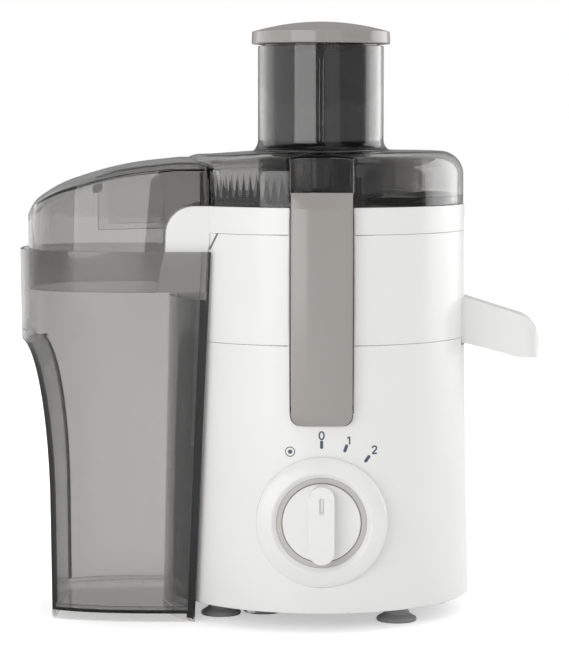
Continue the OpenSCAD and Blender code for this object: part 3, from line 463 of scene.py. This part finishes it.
def repeated(name, tree, values, material):
    """Runs a tree on an empty mesh and keeps the result as a plain mesh."""
    obj = new_object(name, bpy.data.meshes.new(name), material)
    modifier = obj.modifiers.new("repeat", "NODES")
    modifier.node_group = tree
    for item in tree.interface.items_tree:
        if item.in_out == "INPUT" and item.name in values:
            modifier[item.identifier] = values[item.name]
    apply_modifiers(obj)
    if not obj.data.polygons:
        raise RuntimeError(name + ": the node tree made no faces")
    return obj


def finish_tree(tree, geometry, output, material):
    """Ends a tree with real geometry and its material."""
    real = node(tree, "GeometryNodeRealizeInstances", links={"Geometry": geometry})
    coated = node(tree, "GeometryNodeSetMaterial", {"Material": material}, {"Geometry": real})
    tree.links.new(coated.outputs["Geometry"], output.inputs["Geometry"])


# ---------------------------------------------------------------- pieces


class JUICER_OT_stage(bpy.types.Operator):
    """Camera, lamps, world and floor"""

    bl_idname = "juicer.stage"
    bl_label = "Stage"

    lens: FloatProperty(name="Lens", description="Focal length", default=147.85, unit="CAMERA")
    floor_reach: length("Floor reach", 6.0, "Half the side of the floor")

    def execute(self, context):
        sizes = scene_sizes()
        cam = bpy.data.cameras.new("camera")
        cam.lens = self.lens
        cam.sensor_width = 36
        cam.clip_end = 20
        camera = bpy.data.objects.new("camera", cam)
        camera.location = (sizes.eye_side, -sizes.eye_distance, sizes.eye_height)
        camera.rotation_euler = (math.pi / 2 - sizes.eye_tilt, 0, sizes.eye_turn)
        context.scene.collection.objects.link(camera)
        context.scene.camera = camera
        context.scene.view_settings.view_transform = "Standard"
        self.room(context.scene)
        # softboxes: angle from the camera's side, height, distance, size, and how bright each looks
        self.lamp("softbox_front_left", -29.5, 0.62, 2.2, (1.6, 1.3), 2.38)
        self.lamp("softbox_right", 116, 0.6, 1.8, (1.8, 1.6), 1.3)
        self.lamp("softbox_left", -135, 0.6, 1.8, (1.2, 1.6), 0.25)
        self.lamp("softbox_top", 40, 1.9, 0.3, (1.3, 1.0), 0.5)
        self.floor()
        return {"FINISHED"}

    def room(self, scene):
        """World: white to the eye and through glass, a fill for matt faces, and cards for reflections."""
        world = bpy.data.worlds.new("studio")
        scene.world = world
        world.use_nodes = True
        t = world.node_tree
        t.nodes.clear()
        path, seen = seen_directly(t)
        way = node(t, "ShaderNodeTexCoord").outputs["Generated"]
        parts = node(t, "ShaderNodeSeparateXYZ", links={"Vector": way})
        level = {}
        # smooth steps of brightness, each along one axis of the direction looked in
        for name, axis, start, stop, low, high in (
            ("behind", "Y", -0.25, 0.35, 0.4, 0.9),
            ("overhead", "Z", 0.2, 0.9, 0.0, 0.35),
            ("backdrop_start", "Y", 0.0, 0.25, 0.0, 0.85),
            ("backdrop_middle", "Y", 0.6, 0.95, 1.0, 0.2),
            ("backdrop_top", "Z", 0.25, 0.6, 1.0, 0.1),
            ("right_gain", "X", 0.15, 0.4, 1.0, 2.4),
            ("wall_edge", "X", -0.74, -0.68, 0.95, 0.0),
            ("wall_top", "Z", 0.4, 0.7, 1.0, 0.0),
            ("card_start", "X", 0.08, 0.16, 0.0, 0.45),
            ("card_end", "X", 0.5, 0.62, 1.0, 0.0),
            ("card_front", "Y", -0.5, -0.3, 1.0, 0.0),
        ):
            level[name] = node(t, "ShaderNodeMapRange",
                               {"interpolation_type": "SMOOTHSTEP", "From Min": start, "From Max": stop,
                                "To Min": low, "To Max": high}, {"Value": parts.outputs[axis]})
        # matt faces get a fill, dim in front and pale behind and above; glossy faces show the white backdrop,
        # brighter on the right, a white wall far left, a card at front right, and a dark room
        for name, operation, first, second in (
            ("fill", "ADD", "behind", "overhead"),
            ("backdrop_wings", "MULTIPLY", "backdrop_start", "backdrop_middle"),
            ("backdrop", "MULTIPLY", "backdrop_wings", "backdrop_top"),
            ("brighter_right", "MULTIPLY", "backdrop", "right_gain"),
            ("wall", "MULTIPLY", "wall_edge", "wall_top"),
            ("sides", "ADD", "brighter_right", "wall"),
            ("card_width", "MULTIPLY", "card_start", "card_end"),
            ("card", "MULTIPLY", "card_width", "card_front"),
            ("cards", "ADD", "sides", "card"),
        ):
            level[name] = node(t, "ShaderNodeMath", {"operation": operation},
                               {0: level[first], 1: level[second]})
        dark = 0.1
        mirrored = node(t, "ShaderNodeMath", {"operation": "ADD", 1: dark}, {0: level["cards"]})
        chosen = node(t, "ShaderNodeMix", {"data_type": "FLOAT"},
                      {"Factor": path.outputs["Is Glossy Ray"], "A": level["fill"], "B": mirrored})
        room = node(t, "ShaderNodeBackground", {"Color": (1, 1, 1, 1)}, {"Strength": chosen})
        white = node(t, "ShaderNodeBackground", {"Color": (1, 1, 1, 1), "Strength": 1.0})
        mix = node(t, "ShaderNodeMixShader", links={0: seen, 1: room, 2: white})
        node(t, "ShaderNodeOutputWorld", links={"Surface": mix})

    def lamp(self, name, azimuth, height, distance, size, radiance):
        """A softbox aimed at the middle of the juicer, at an angle that grows to the camera's right."""
        light = bpy.data.lights.new(name, "AREA")
        light.shape = "RECTANGLE"
        light.size, light.size_y = size
        light.energy = radiance * math.pi * size[0] * size[1]
        o = bpy.data.objects.new(name, light)
        a = math.radians(azimuth)
        o.location = (distance * math.sin(a), -distance * math.cos(a), height)
        o.rotation_euler = (Vector((0, 0, 0.18)) - o.location).to_track_quat("-Z", "Y").to_euler()
        bpy.context.scene.collection.objects.link(o)

    def floor(self):
        """White paper that keeps the shadow and looks white from the camera and through glass."""
        r = self.floor_reach
        mesh = bpy.data.meshes.new("floor")
        mesh.from_pydata([(-r, -r, 0), (r, -r, 0), (r, r, 0), (-r, r, 0)], [], [(0, 1, 2, 3)])
        m, t = new_material("floor_paper_white")
        seen = seen_directly(t)[1]
        paper = node(t, "ShaderNodeBsdfDiffuse", {"Color": (0.86, 0.86, 0.86, 1)})
        lift = node(t, "ShaderNodeMath", {"operation": "MULTIPLY", 1: 0.45}, {0: seen})
        glow = node(t, "ShaderNodeEmission", {"Color": (1, 1, 1, 1)}, {"Strength": lift})
        both = node(t, "ShaderNodeAddShader", links={0: paper, 1: glow})
        node(t, "ShaderNodeOutputMaterial", links={"Surface": both})
        new_object("floor", mesh, m)


class JUICER_OT_mouldings(bpy.types.Operator):
    """White, grey and clear mouldings with rounded edges"""

    bl_idname = "juicer.mouldings"
    bl_label = "Mouldings"

    knob_face: length("Knob face", -0.0995, "Y beyond which the knob's grip has its wide rounding")

    def execute(self, context):
        white, grey = white_abs(), warm_grey_abs()
        for n in ("base_housing", "collector_bowl", "collector_rim"):
            softened(n, white, 0.5, segments=3, wide_mm=1.4, wide=recess_edge, merge_mm=0.2)
        softened("control_knob", white, 0.7, segments=4, wide_mm=2.0,
                 wide=lambda e: all(v.co.y < self.knob_face for v in e.verts))
        for n in ("clamp_front", "clamp_back"):
            softened(n, grey, 0.9, segments=3)
        softened("pusher_cap", grey, 0.6)
        softened("dial_ring", dial_grey_abs(), 0.3)
        softened("suction_feet", rubber(), 0.5)
        self.lid()
        softened("pusher_body", smoke_clear("pusher", 0.2, 120.0), 0.4, limit=50)
        return {"FINISHED"}

    def lid(self):
        """Lid with its roof in one curve; its guide walls take a paler tint, painted light, and its lower rim
        a darker one, painted shade.
        """
        lid = softened("lid", smoke_clear("lid", 0.6, 120.0), 0.4, limit=50, wide_mm=1.0,
                       wide=self.clamp_slot_edge, merge_mm=0.2)
        for v in lid.data.vertices:
            v.co.z -= roof_drop(v.co.x / MM, v.co.z / MM) * MM
        # the paler tint on the guide walls is painted light, the darker tint on the lower rim painted shade
        painted_light_slot, painted_shade_slot = 1, 2
        lid.data.materials.append(smoke_clear("lid_guide_painted_light", 0.95, 120.0))
        lid.data.materials.append(smoke_clear("lid_band_painted_shade", 0.2, 120.0))
        for face in lid.data.polygons:
            x, y, z = (c / MM for c in face.center)
            upright = abs(face.normal.y) > 0.95
            if upright and 36 < abs(y) < 50 and -140 < x < -24 and z > 236.5:
                face.material_index = painted_light_slot
            elif z < 243 and math.hypot(x, y) > 74 and x > -60:
                face.material_index = painted_shade_slot

    def clamp_slot_edge(self, e):
        """Whether an edge of the lid runs along the side of a clamp's slot."""
        return all(16 < abs(v.co.x) / MM < 19 and abs(v.co.y) > 0.076 for v in e.verts)


class JUICER_OT_lid_details(bpy.types.Operator):
    """Splash wall inside the lid, keyway box inside the pusher, and a line of painted shade for the pointer
    slot of the knob
    """

    bl_idname = "juicer.lid_details"
    bl_label = "Lid, pusher and knob details"

    splash_radius: length("Splash wall radius", 0.0588, "Outer radius of the wall under the lid's roof")
    splash_low: length("Splash wall end", 0.2420, "Height of its lower end")
    splash_high: length("Splash wall root", 0.2640, "Height of the lid's roof inside")
    splash_wall: length("Splash wall thickness", 0.0016, "Thickness of the wall")
    keyway_height: length("Keyway height", 0.124, "Length of the box inside the pusher")
    keyway_middle: length("Keyway middle", 0.262, "Height of its middle")
    pointer_height: length("Pointer height", 0.073, "Middle of the pointer slot on the knob")

    def execute(self, context):
        self.splash()
        self.keyway()
        self.pointer()
        return {"FINISHED"}

    def splash(self):
        """Arc of wall on the side away from the chute, from -74 to 74 degrees."""
        inner = self.splash_radius - self.splash_wall
        outline = ((self.splash_radius, self.splash_low), (self.splash_radius, self.splash_high),
                   (inner, self.splash_high), (inner, self.splash_low))
        bm = bmesh.new()
        join_rows(bm, [turned_row(bm, outline, degrees) for degrees in range(-74, 75, 4)], False)
        wall = from_rings("lid_splash_wall", bm, smoke_clear("splash", 0.42, 120.0))
        rounded(wall, 0.0003, limit=50)
        carry(wall, "lid")

    def keyway(self):
        """Flat box that runs up the pusher's front wall inside."""
        half_width, half_depth, y = 0.0034, 0.00075, -0.03065
        bm = bmesh.new()
        bmesh.ops.create_cube(bm, size=2)
        bmesh.ops.scale(bm, vec=(half_width, half_depth, self.keyway_height / 2), verts=bm.verts)
        bmesh.ops.translate(bm, vec=(0, y, self.keyway_middle), verts=bm.verts)
        box = from_rings("pusher_keyway_box", bm, smoke_clear("pusher", 0.2, 120.0))
        rounded(box, 0.0003)
        carry(box, "pusher_body")

    def pointer(self):
        """Thin grey line round a slot with round ends, on the knob's grip: painted shade standing in for the
        slot's groove.
        """
        count, end_radius, half_run, middle = 32, 1.15, 3.0, self.pointer_height / MM
        front = frame_front("control_knob")
        outline = []
        for i in range(count):
            a = math.tau * i / count
            up = end_radius * math.cos(a) + (half_run if math.cos(a) > 0 else -half_run)
            outline.append((end_radius * math.sin(a), up))
        bm = bmesh.new()
        rows = []
        for x, up in outline:
            rows.append([bm.verts.new((x * across * MM, front + depth, (middle + up * along) * MM))
                         for across, along, depth in ((1, 1, -0.00002), (0.72, 0.93, -0.00002),
                                                      (0.72, 0.93, 0.0003), (1, 1, 0.0003))])
        join_rows(bm, rows, True)
        carry(from_rings("knob_pointer_shadow_line", bm, dial_grey_abs()), "control_knob")


class JUICER_OT_seams(bpy.types.Operator):
    """Dark rings sunk in the joints of the drum: painted shade that shows as thin shadow lines"""

    bl_idname = "juicer.seams"
    bl_label = "Seams"

    # the seal below is a dark ring of painted shade, sunk in the joint
    depth: length("Depth", 0.00022, "How far the seal sits behind the drum's surface")
    height: length("Height", 0.0006, "Height of the seal")
    thickness: length("Thickness", 0.0006, "Thickness of the seal")
    low_seam: length("Low seam", 0.1593, "Joint between housing and collector")
    high_seam: length("High seam", 0.2204, "Joint between collector and its rim")

    def execute(self, context):
        clamps = ((90, 13), (270, 13))
        # each dark ring of painted shade runs round between gaps, given as their middle and half width in
        # degrees
        self.ring("seam_low", self.low_seam, "base_housing", (*clamps, (0, 16)))
        self.ring("seam_high", self.high_seam, "collector_bowl", (*clamps, (180, 44)))
        # dark lines of painted shade along the joints of the cheeks
        bm = bmesh.new()
        cheek_foot, cheek_run, cheek_rise, width = (-62.6, 211.4), 4.5, 9.0, 1.0
        line = [(cheek_foot[0] + cheek_run * k / 6, cheek_foot[1] + cheek_rise * k / 6) for k in range(7)]
        for way in (1, -1):
            printed_line(bm, line, width, way=way)
        carry(from_rings("cheek_seams", bm, painted_shadow_line()), "collector_bowl")
        return {"FINISHED"}

    def ring(self, name, z, node_name, gaps):
        """Dark ring of painted shade round the drum at height z, left out in the gaps."""
        outer = -drum_surface(0, z, -self.depth)[1]
        inner, low, high = outer - self.thickness, z - self.height / 2, z + self.height / 2
        outline = ((outer, low), (outer, high), (inner, high), (inner, low))
        bm = bmesh.new()
        run = []
        for degrees in range(90, 451):
            if any(abs((degrees - middle + 180) % 360 - 180) < half for middle, half in gaps):
                if run:
                    join_rows(bm, run, False)
                run = []
            else:
                run.append(turned_row(bm, outline, degrees))
        # the ring is painted shade in the joint
        seal = from_rings(name, bm, painted_shadow_line())
        smooth(seal.data, 30)
        carry(seal, node_name)


class JUICER_OT_clamp_faces(bpy.types.Operator):
    """Curved outer skins of the two clamps, rolled off at the bottom and along both sides"""

    bl_idname = "juicer.clamp_faces"
    bl_label = "Clamp faces"

    half_width: length("Half width", 0.01695, "Half width of the clamp")
    low: length("Lower end", 0.1150, "Bottom of the skin")
    high: length("Upper end", 0.2350, "Top of the skin, where the hook's chamfer starts")
    face: length("Face", 0.0891, "Radius of the curved face")
    corner: length("Corner", 0.0065, "Radius of the lower corners seen from the front")
    roll: length("Edge roll", 0.0012, "Radius of the rounding along the sides")
    bottom_roll: length("Bottom roll", 0.0072, "Height over which the face curves in at the bottom")
    bottom_tuck: length("Bottom tuck", 0.0044, "How far it curves in")

    def tuck_at(self, z):
        """How far the face curves in behind its full radius at height z."""
        up = min(1.0, (z - self.low) / self.bottom_roll)
        return self.bottom_tuck * (1 - math.sqrt(1 - (1 - up) ** 2))

    def half_at(self, z):
        """Half width at height z, narrower in the rounded lower corners."""
        up = z - self.low
        if up >= self.corner:
            return self.half_width
        return self.half_width - self.corner + math.sqrt(max(0.0, self.corner ** 2 - (self.corner - up) ** 2))

    def execute(self, context):
        behind, sheet = 0.0848, 0.0002  # the skin's back, and its least thickness
        columns = [math.sin(math.pi / 2 * i / 14) for i in range(-14, 15)]
        top_of_roll = self.low + self.bottom_roll
        heights = [self.low + self.corner * (1 - math.cos(math.pi / 2 * k / 10)) for k in range(11)]
        heights += [heights[-1] + (top_of_roll - heights[-1]) * k / 8 for k in range(1, 9)]
        heights += [heights[-1] + (self.high - heights[-1]) * k / 4 for k in range(1, 5)]
        for name, way in (("clamp_front", 1), ("clamp_back", -1)):
            bm = bmesh.new()
            rows = []
            for z in heights:
                half = self.half_at(z)
                front, back = [], []
                for c in columns:
                    x = half * c
                    edge = max(0.0, self.roll - (half - abs(x)))
                    side = self.roll - math.sqrt(max(0.0, self.roll ** 2 - edge ** 2))
                    u = math.sqrt(self.face ** 2 - x * x) - self.tuck_at(z) - side
                    front.append(bm.verts.new((x * way, -u * way, z)))
                    back.append(bm.verts.new((x * way, -min(u - sheet, behind) * way, z)))
                rows.append(front + back[::-1])
            join_rows(bm, rows, False)
            obj = from_rings(name + "_face", bm, warm_grey_abs())
            smooth(obj.data, 50)
            carry(obj, name)
        return {"FINISHED"}


class JUICER_OT_pulp_bin(bpy.types.Operator):
    """Smoke-clear pulp bin: oval shell, hollow toward the drum and scooped on its far side"""

    bl_idname = "juicer.pulp_bin"
    bl_label = "Pulp bin"

    side_wall: length("Side wall", 0.0020, "Thickness of the oval walls")
    scoop_wall: length("Scoop wall", 0.0028, "Thickness of the scooped grip")
    hollow_wall: length("Hollow wall", 0.0024, "Thickness toward the drum")
    notch: length("Notch", 0.183, "Height of the wall toward the drum, which is lower than the rim")
    foot_inset: length("Foot inset", 0.0025, "Width of the foot that the bin stands on")
    foot_rise: length("Foot rise", 0.0020, "Thickness of the floor above the foot's hollow")

    def section(self, z, side, scoop, hollow):
        """Plan at height z in mm, moved in by three walls, as a ring with the same points at every height."""
        power, centre = 2.8, -82.0  # squareness of the oval, and its middle
        part = 1 - z / (scene_sizes().bin_height / MM)  # 0 at the rim, 1 at the table
        half_depth = 58.5 - 4.5 * part
        post = half_depth - 2.6  # the hollow side ends here, at a narrow post
        b = half_depth - side
        a = 91.6 - 2.8 * part - side
        r = 85.0 + 4.6 * part + hollow
        u = min(1.0, (centre - self.scoop_x(z) - scoop) / a)
        end = math.asin(u ** (power / 2))
        corner = -math.sqrt(r * r - b * b)
        half = [(corner + (centre - corner) * i / 5, -b) for i in range(6)]
        for i in range(1, 25):
            w = end * i / 24
            half.append((centre - a * math.sin(w) ** (2 / power), -b * max(0.0, math.cos(w)) ** (2 / power)))
        tip_x, tip_y = half[-1]
        face = [(tip_x, tip_y * (1 - i / 4)) for i in range(1, 8)]
        arc = [post * (1 - i / 11) for i in range(23)]
        mirrored = [(x, -y) for x, y in reversed(half)]
        return half + face + mirrored + [(-math.sqrt(r * r - y * y), y) for y in arc]

    def scoop_x(self, z):
        """X of the scooped face at height z, in mm: from the foot nearly upright, a long curve, a slant."""
        top, low, reach, depth = 158, 58, -171.6, 17.6
        if z >= top:
            return reach - (z - top) / 4
        if z <= low:
            return reach + depth + (low - z) / 98
        return reach + depth * math.sqrt(1 - (1 - (top - z) / (top - low)) ** 2)

    def shell(self):
        """Outer and inner skin, rim, notch and foot, closed."""
        size = scene_sizes()
        top, floor, notch = size.bin_height / MM, size.bin_floor / MM, self.notch / MM
        walls = (self.side_wall / MM, self.scoop_wall / MM, self.hollow_wall / MM)
        inset = (self.foot_inset / MM,) * 3
        # closer together where the scoop curves
        heights = [5, 8.6, 20, 40, 58, 74, 88, 100, 110, 118, 125, 131, 137, 142, 146, 150, 153, 155.5, 157,
                   158, 159.5, 161, 162.2, 163, 163.5, 167, 173, notch, 196, top]
        bm = bmesh.new()

        def ring(z, *moved_in):
            return [bm.verts.new((x * MM, y * MM, z * MM)) for x, y in self.section(z, *moved_in)]

        def join(low, high, keep=None):
            n = len(low)
            for i in range(n):
                if keep is None or keep(i):
                    bm.faces.new((low[i], low[(i + 1) % n], high[(i + 1) % n], high[i]))

        outer = [ring(z, 0, 0, 0) for z in [0] + heights]
        inner = [ring(z, *walls) for z in [floor] + heights[1:]]
        n = len(outer[0])
        first, last = n - 23, n - 1  # the hollow side lies between these two points

        def outside_notch(i):
            return not first <= i < last

        for skin, levels in ((outer, [0] + heights), (inner, [floor] + heights[1:])):
            for low, high, z in zip(skin, skin[1:], levels):
                join(low, high, outside_notch if z >= notch else None)
        cut = 1 + heights.index(notch)
        join(outer[-1], inner[-1], outside_notch)
        join(outer[cut], inner[cut - 1], lambda i: not outside_notch(i))
        for i in (first, last):
            for k in range(cut, len(outer) - 1):
                bm.faces.new((outer[k][i], outer[k + 1][i], inner[k][i], inner[k - 1][i]))
        bm.faces.new(inner[0])
        foot_low = ring(0, *inset)
        foot_high = ring(floor - self.foot_rise / MM, *inset)
        join(outer[0], foot_low)
        join(foot_low, foot_high)
        bm.faces.new(foot_high)
        return bm

    def tint_of(self, face):
        """Name of the tint of one face: darker tints on the hollow toward the drum, the scooped grip and the
        root are painted shade, paler ones on the foot rim and the floor are painted light.
        """
        x, y, z = (c / MM for c in face.center)
        flat = abs(face.normal.z)
        # floor and foot rim: paler tints, painted light from the white table below
        if z < 9 and flat > 0.8 and math.hypot(x + 82, y) < 80:
            return "bin_floor"
        if z < 4.9:
            return "bin_rim_painted_light"
        # root, scooped grip and hollow toward the drum: darker tints, painted shade
        if z < 8.6 and flat < 0.5:
            return "bin_root_painted_shade"
        scooped = face.normal.x < -0.8 and x < -148 or abs(x - self.scoop_x(z)) < 3.4
        if scooped and z < 157:
            return "bin_scoop_painted_shade"
        if math.hypot(x, y) < 93 and abs(y) < 51 and z > 8:
            return "bin_hollow_painted_shade"
        return "bin"

    def execute(self, context):
        # tint and absorption of each face; apart from the plain bin, the darker tints are painted shade and
        # the paler ones painted light
        tints_with_painted_light = {"bin": (0.69, 200.0), "bin_scoop_painted_shade": (0.15, 120.0), "bin_hollow_painted_shade": (0.3, 120.0),
                    "bin_rim_painted_light": (0.99, 20.0), "bin_root_painted_shade": (0.5, 120.0), "bin_floor": (0.93, 110.0)}
        obj = from_rings("pulp_bin_shell", self.shell(), smoke_clear("bin", *tints_with_painted_light["bin"]))
        rounded(obj, scene_sizes().clear_edge)
        names = list(tints_with_painted_light)
        for name in names[1:]:
            obj.data.materials.append(smoke_clear(name, *tints_with_painted_light[name]))
        for face in obj.data.polygons:
            face.material_index = names.index(self.tint_of(face))
        place(obj, "pulp_bin")
        return {"FINISHED"}


class JUICER_OT_print(bpy.types.Operator):
    """Printed marks around the dial: plain 0, 1 and 2 with their dashes, and a round mark"""

    bl_idname = "juicer.print"
    bl_label = "Dial print"

    def execute(self, context):
        centre = scene_sizes().dial_height / MM
        bm = bmesh.new()

        def at(degrees, radius):
            a = math.radians(degrees)
            return radius * math.sin(a), centre + radius * math.cos(a)

        def draw(origin, points, width, closed):
            printed_line(bm, [(origin[0] + x, origin[1] + z) for x, z in points], width, closed)

        # outlines of the numbers, in mm from their middles
        nought = [(1.3 * math.sin(t) * abs(math.sin(t)) ** -0.15 if math.sin(t) else 0.0, 2.1 * math.cos(t))
                  for t in (math.tau * i / 28 for i in range(28))]
        one = [(-0.95, 1.2), (-0.45, 1.62), (0.3, 2.1), (0.3, 1.0), (0.3, -0.8), (0.3, -2.15)]
        two = [(-1.2, 1.0), (-1.1, 1.5), (-0.75, 1.9), (-0.2, 2.1), (0.4, 2.03), (0.9, 1.7),
               (1.12, 1.2), (1.05, 0.7), (0.75, 0.2), (-0.2, -0.8), (-1.0, -1.65), (-1.15, -1.9),
               (-0.8, -2.0), (0.2, -2.0), (1.3, -2.0)]
        for degrees, radius, points, closed in ((0, 48.2, nought, True), (18.5, 47.8, one, False),
                                                (36.5, 49.4, two, False)):
            draw(at(degrees, radius), points, 0.85, closed)
        for degrees in (0, 18, 36):
            printed_line(bm, (at(degrees, 40.8), at(degrees, 45.5)), 1.75, pill=True)
        # round mark at the momentary position: a ring and a dot
        spot = at(-24, 42.8)
        turns = [math.tau * i / 32 for i in range(32)]
        for radius, width in ((2.55, 0.5), (0.62, 1.2)):
            draw(spot, [(radius * math.sin(t), radius * math.cos(t)) for t in turns], width, True)
        carry(from_rings("dial_print", bm, print_ink()), "base_housing")
        return {"FINISHED"}


class JUICER_OT_sieve(bpy.types.Operator):
    """Stainless strainer wall with its holes, and the teeth of the grater disc"""

    bl_idname = "juicer.sieve"
    bl_label = "Sieve"

    wall_radius: length("Wall radius", 0.065, "Outer radius of the strainer at its top")

    def wall_tree(self, material):
        tree, given, output = repeat_tree("strainer_wall", {
            "Columns": 150, "Rows": 14, "Low radius": 0.0507, "High radius": 0.0651, "Low edge": 0.189,
            "Height": 0.043, "Open share": 0.5, "Sheet": 0.0005})
        g = given.outputs
        cone = node(tree, "GeometryNodeMeshCone", {"fill_type": "NONE"},
                    {"Vertices": g["Columns"], "Side Segments": g["Rows"], "Radius Top": g["High radius"],
                     "Radius Bottom": g["Low radius"], "Depth": g["Height"]})
        inset = node(tree, "GeometryNodeExtrudeMesh",
                     {"mode": "FACES", "Offset Scale": 0.0, "Individual": True}, {"Mesh": cone})
        shrink = node(tree, "GeometryNodeScaleElements", {"domain": "FACE"},
                      {"Geometry": inset, "Selection": inset.outputs["Top"], "Scale": g["Open share"]})
        holes = node(tree, "GeometryNodeDeleteGeometry", {"domain": "FACE"},
                     {"Geometry": shrink, "Selection": inset.outputs["Top"]})
        skin = node(tree, "GeometryNodeExtrudeMesh", {"mode": "FACES", "Individual": False},
                    {"Mesh": holes, "Offset Scale": g["Sheet"]})
        back = node(tree, "GeometryNodeFlipFaces", links={"Mesh": holes})
        both = node(tree, "GeometryNodeJoinGeometry")
        for side in (skin, back):
            tree.links.new(side.outputs["Mesh"], both.inputs["Geometry"])
        weld = node(tree, "GeometryNodeMergeByDistance", {"Distance": 1e-5}, {"Geometry": both})
        rise = node(tree, "ShaderNodeCombineXYZ", links={"Z": g["Low edge"]})
        raised = node(tree, "GeometryNodeTransform", links={"Geometry": weld, "Translation": rise})
        finish_tree(tree, raised, output, material)
        return tree

    def teeth_tree(self, material):
        tree, given, output = repeat_tree("grater_teeth", {
            "Teeth": 240, "First radius": 0.011, "Last radius": 0.047, "Tooth": 0.0016, "Disc top": 0.1868})
        g = given.outputs
        points = node(tree, "GeometryNodePoints", links={"Count": g["Teeth"]})
        index = node(tree, "GeometryNodeInputIndex")
        share = node(tree, "ShaderNodeMath", {"operation": "DIVIDE"}, {0: index, 1: g["Teeth"]})
        # equal spacing over the disc: radius grows with the square root, angle by the golden angle
        root = node(tree, "ShaderNodeMath", {"operation": "SQRT"}, {0: share})
        radius = node(tree, "ShaderNodeMapRange",
                      links={"Value": root, "To Min": g["First radius"], "To Max": g["Last radius"]})
        golden_angle = 2.39996
        swing = node(tree, "ShaderNodeMath", {"operation": "MULTIPLY", 1: golden_angle}, {0: index})
        cosine = node(tree, "ShaderNodeMath", {"operation": "COSINE"}, {0: swing})
        sine = node(tree, "ShaderNodeMath", {"operation": "SINE"}, {0: swing})
        x = node(tree, "ShaderNodeMath", {"operation": "MULTIPLY"}, {0: radius, 1: cosine})
        y = node(tree, "ShaderNodeMath", {"operation": "MULTIPLY"}, {0: radius, 1: sine})
        spot = node(tree, "ShaderNodeCombineXYZ", links={"X": x, "Y": y, "Z": g["Disc top"]})
        moved = node(tree, "GeometryNodeSetPosition", links={"Geometry": points, "Position": spot})
        lean = -0.45
        turn = node(tree, "ShaderNodeCombineXYZ", {"Y": lean}, {"Z": swing})
        tooth = node(tree, "GeometryNodeMeshCone", {"Vertices": 3, "Radius Top": 0.0001},
                     {"Radius Bottom": g["Tooth"], "Depth": g["Tooth"]})
        placed = node(tree, "GeometryNodeInstanceOnPoints",
                      links={"Points": moved, "Instance": tooth, "Rotation": turn})
        finish_tree(tree, placed, output, material)
        return tree

    def execute(self, context):
        steel = stainless()
        columns = round(math.tau * self.wall_radius / scene_sizes().hole_pitch)
        wall = repeated("strainer_wall", self.wall_tree(steel), {"Columns": columns}, steel)
        bands = from_rings("strainer_bands", self.bands(), steel)
        smooth(bands.data, 30)
        teeth = repeated("grater_teeth", self.teeth_tree(steel), {}, steel)
        refinish("grater_disc", steel)
        carry(teeth, "grater_disc")
        carry(bands, "sieve_mesh")
        place(wall, "sieve_mesh")
        return {"FINISHED"}

    def bands(self):
        """Plain rolled edges of the strainer, below and above its holes."""
        bm = bmesh.new()
        # (radius, height) outlines in mm
        low = ((50.0, 184.0), (51.0, 184.0), (51.2, 189.2), (50.5, 189.2), (50.0, 187.5))
        high = ((64.2, 231.8), (65.0, 231.8), (65.0, 235.5), (64.0, 235.5))
        for outline in (low, high):
            metres = [(r * MM, z * MM) for r, z in outline]
            join_rows(bm, [turned_row(bm, metres, degrees) for degrees in range(0, 360, 3)], True)
        return bm


class JUICER_OT_inside(bpy.types.Operator):
    """Finishes of the motor, the sieve and the other inner pieces"""

    bl_idname = "juicer.inside"
    bl_label = "Inner pieces"

    def execute(self, context):
        steel = metal("steel_zinc_plated", linear("#c4c6c9"), 0.32)
        lamination = metal("steel_lamination_stack", linear("#7d7f83"), 0.45, (1, 1, 30))
        copper = metal("copper_enamelled_wire", linear("#b5683a"), 0.35, (1, 1, 12))
        bronze = metal("bronze_sintered", linear("#a9864f"), 0.5)
        for names, material in (
            (("base_screws", "motor_bolts", "mount_screws", "clamp_pins", "interlock_spring", "motor_shaft",
              "knob_spindle", "upper_bracket", "lower_bracket"), steel),
            (("motor_stator", "rotor_core"), lamination),
            (("field_coils", "rotor_windings", "commutator"), copper),
            (("upper_bearing", "lower_bearing"), bronze),
            (("cord_gland", "motor_mounts", "shaft_seal"), rubber()),
            (("brush_holders", "rotary_switch", "interlock_switch", "cooling_fan", "drive_coupling",
              "sieve_hub"), black_nylon()),
            (("carbon_brushes",), plastic("carbon_pressed", linear("#2b2b2d"), 0.6)),
            (("speed_board",), plastic("board_green_glass_epoxy", linear("#2f6a47"), 0.4)),
            (("interlock_plunger", "sieve_rim"), natural_nylon()),
            (("base_plate",), white_abs()),
        ):
            for name in names:
                refinish(name, material)
        return {"FINISHED"}


class JUICER_PT_panel(bpy.types.Panel):
    """Lists the steps that build the juicer"""

    bl_idname = "JUICER_PT_panel"
    bl_label = "Juicer"
    bl_space_type = "VIEW_3D"
    bl_region_type = "UI"
    bl_category = "Juicer"

    def draw(self, context):
        for step in STEPS:
            self.layout.operator(step.bl_idname)


STEPS = (JUICER_OT_stage, JUICER_OT_mouldings, JUICER_OT_lid_details, JUICER_OT_seams, JUICER_OT_clamp_faces,
         JUICER_OT_pulp_bin, JUICER_OT_print, JUICER_OT_sieve, JUICER_OT_inside)
CLASSES = (JuicerColours, JuicerSizes, *STEPS, JUICER_PT_panel)


def register():
    for c in CLASSES:
        bpy.utils.register_class(c)
    bpy.types.Scene.juicer_colours = PointerProperty(type=JuicerColours)
    bpy.types.Scene.juicer_sizes = PointerProperty(type=JuicerSizes)


def unregister():
    del bpy.types.Scene.juicer_colours
    del bpy.types.Scene.juicer_sizes
    for c in reversed(CLASSES):
        bpy.utils.unregister_class(c)


def main():
    register()
    for step in STEPS:
        group, call = step.bl_idname.split(".")
        getattr(getattr(bpy.ops, group), call)()


if __name__ == "__main__":
    main()
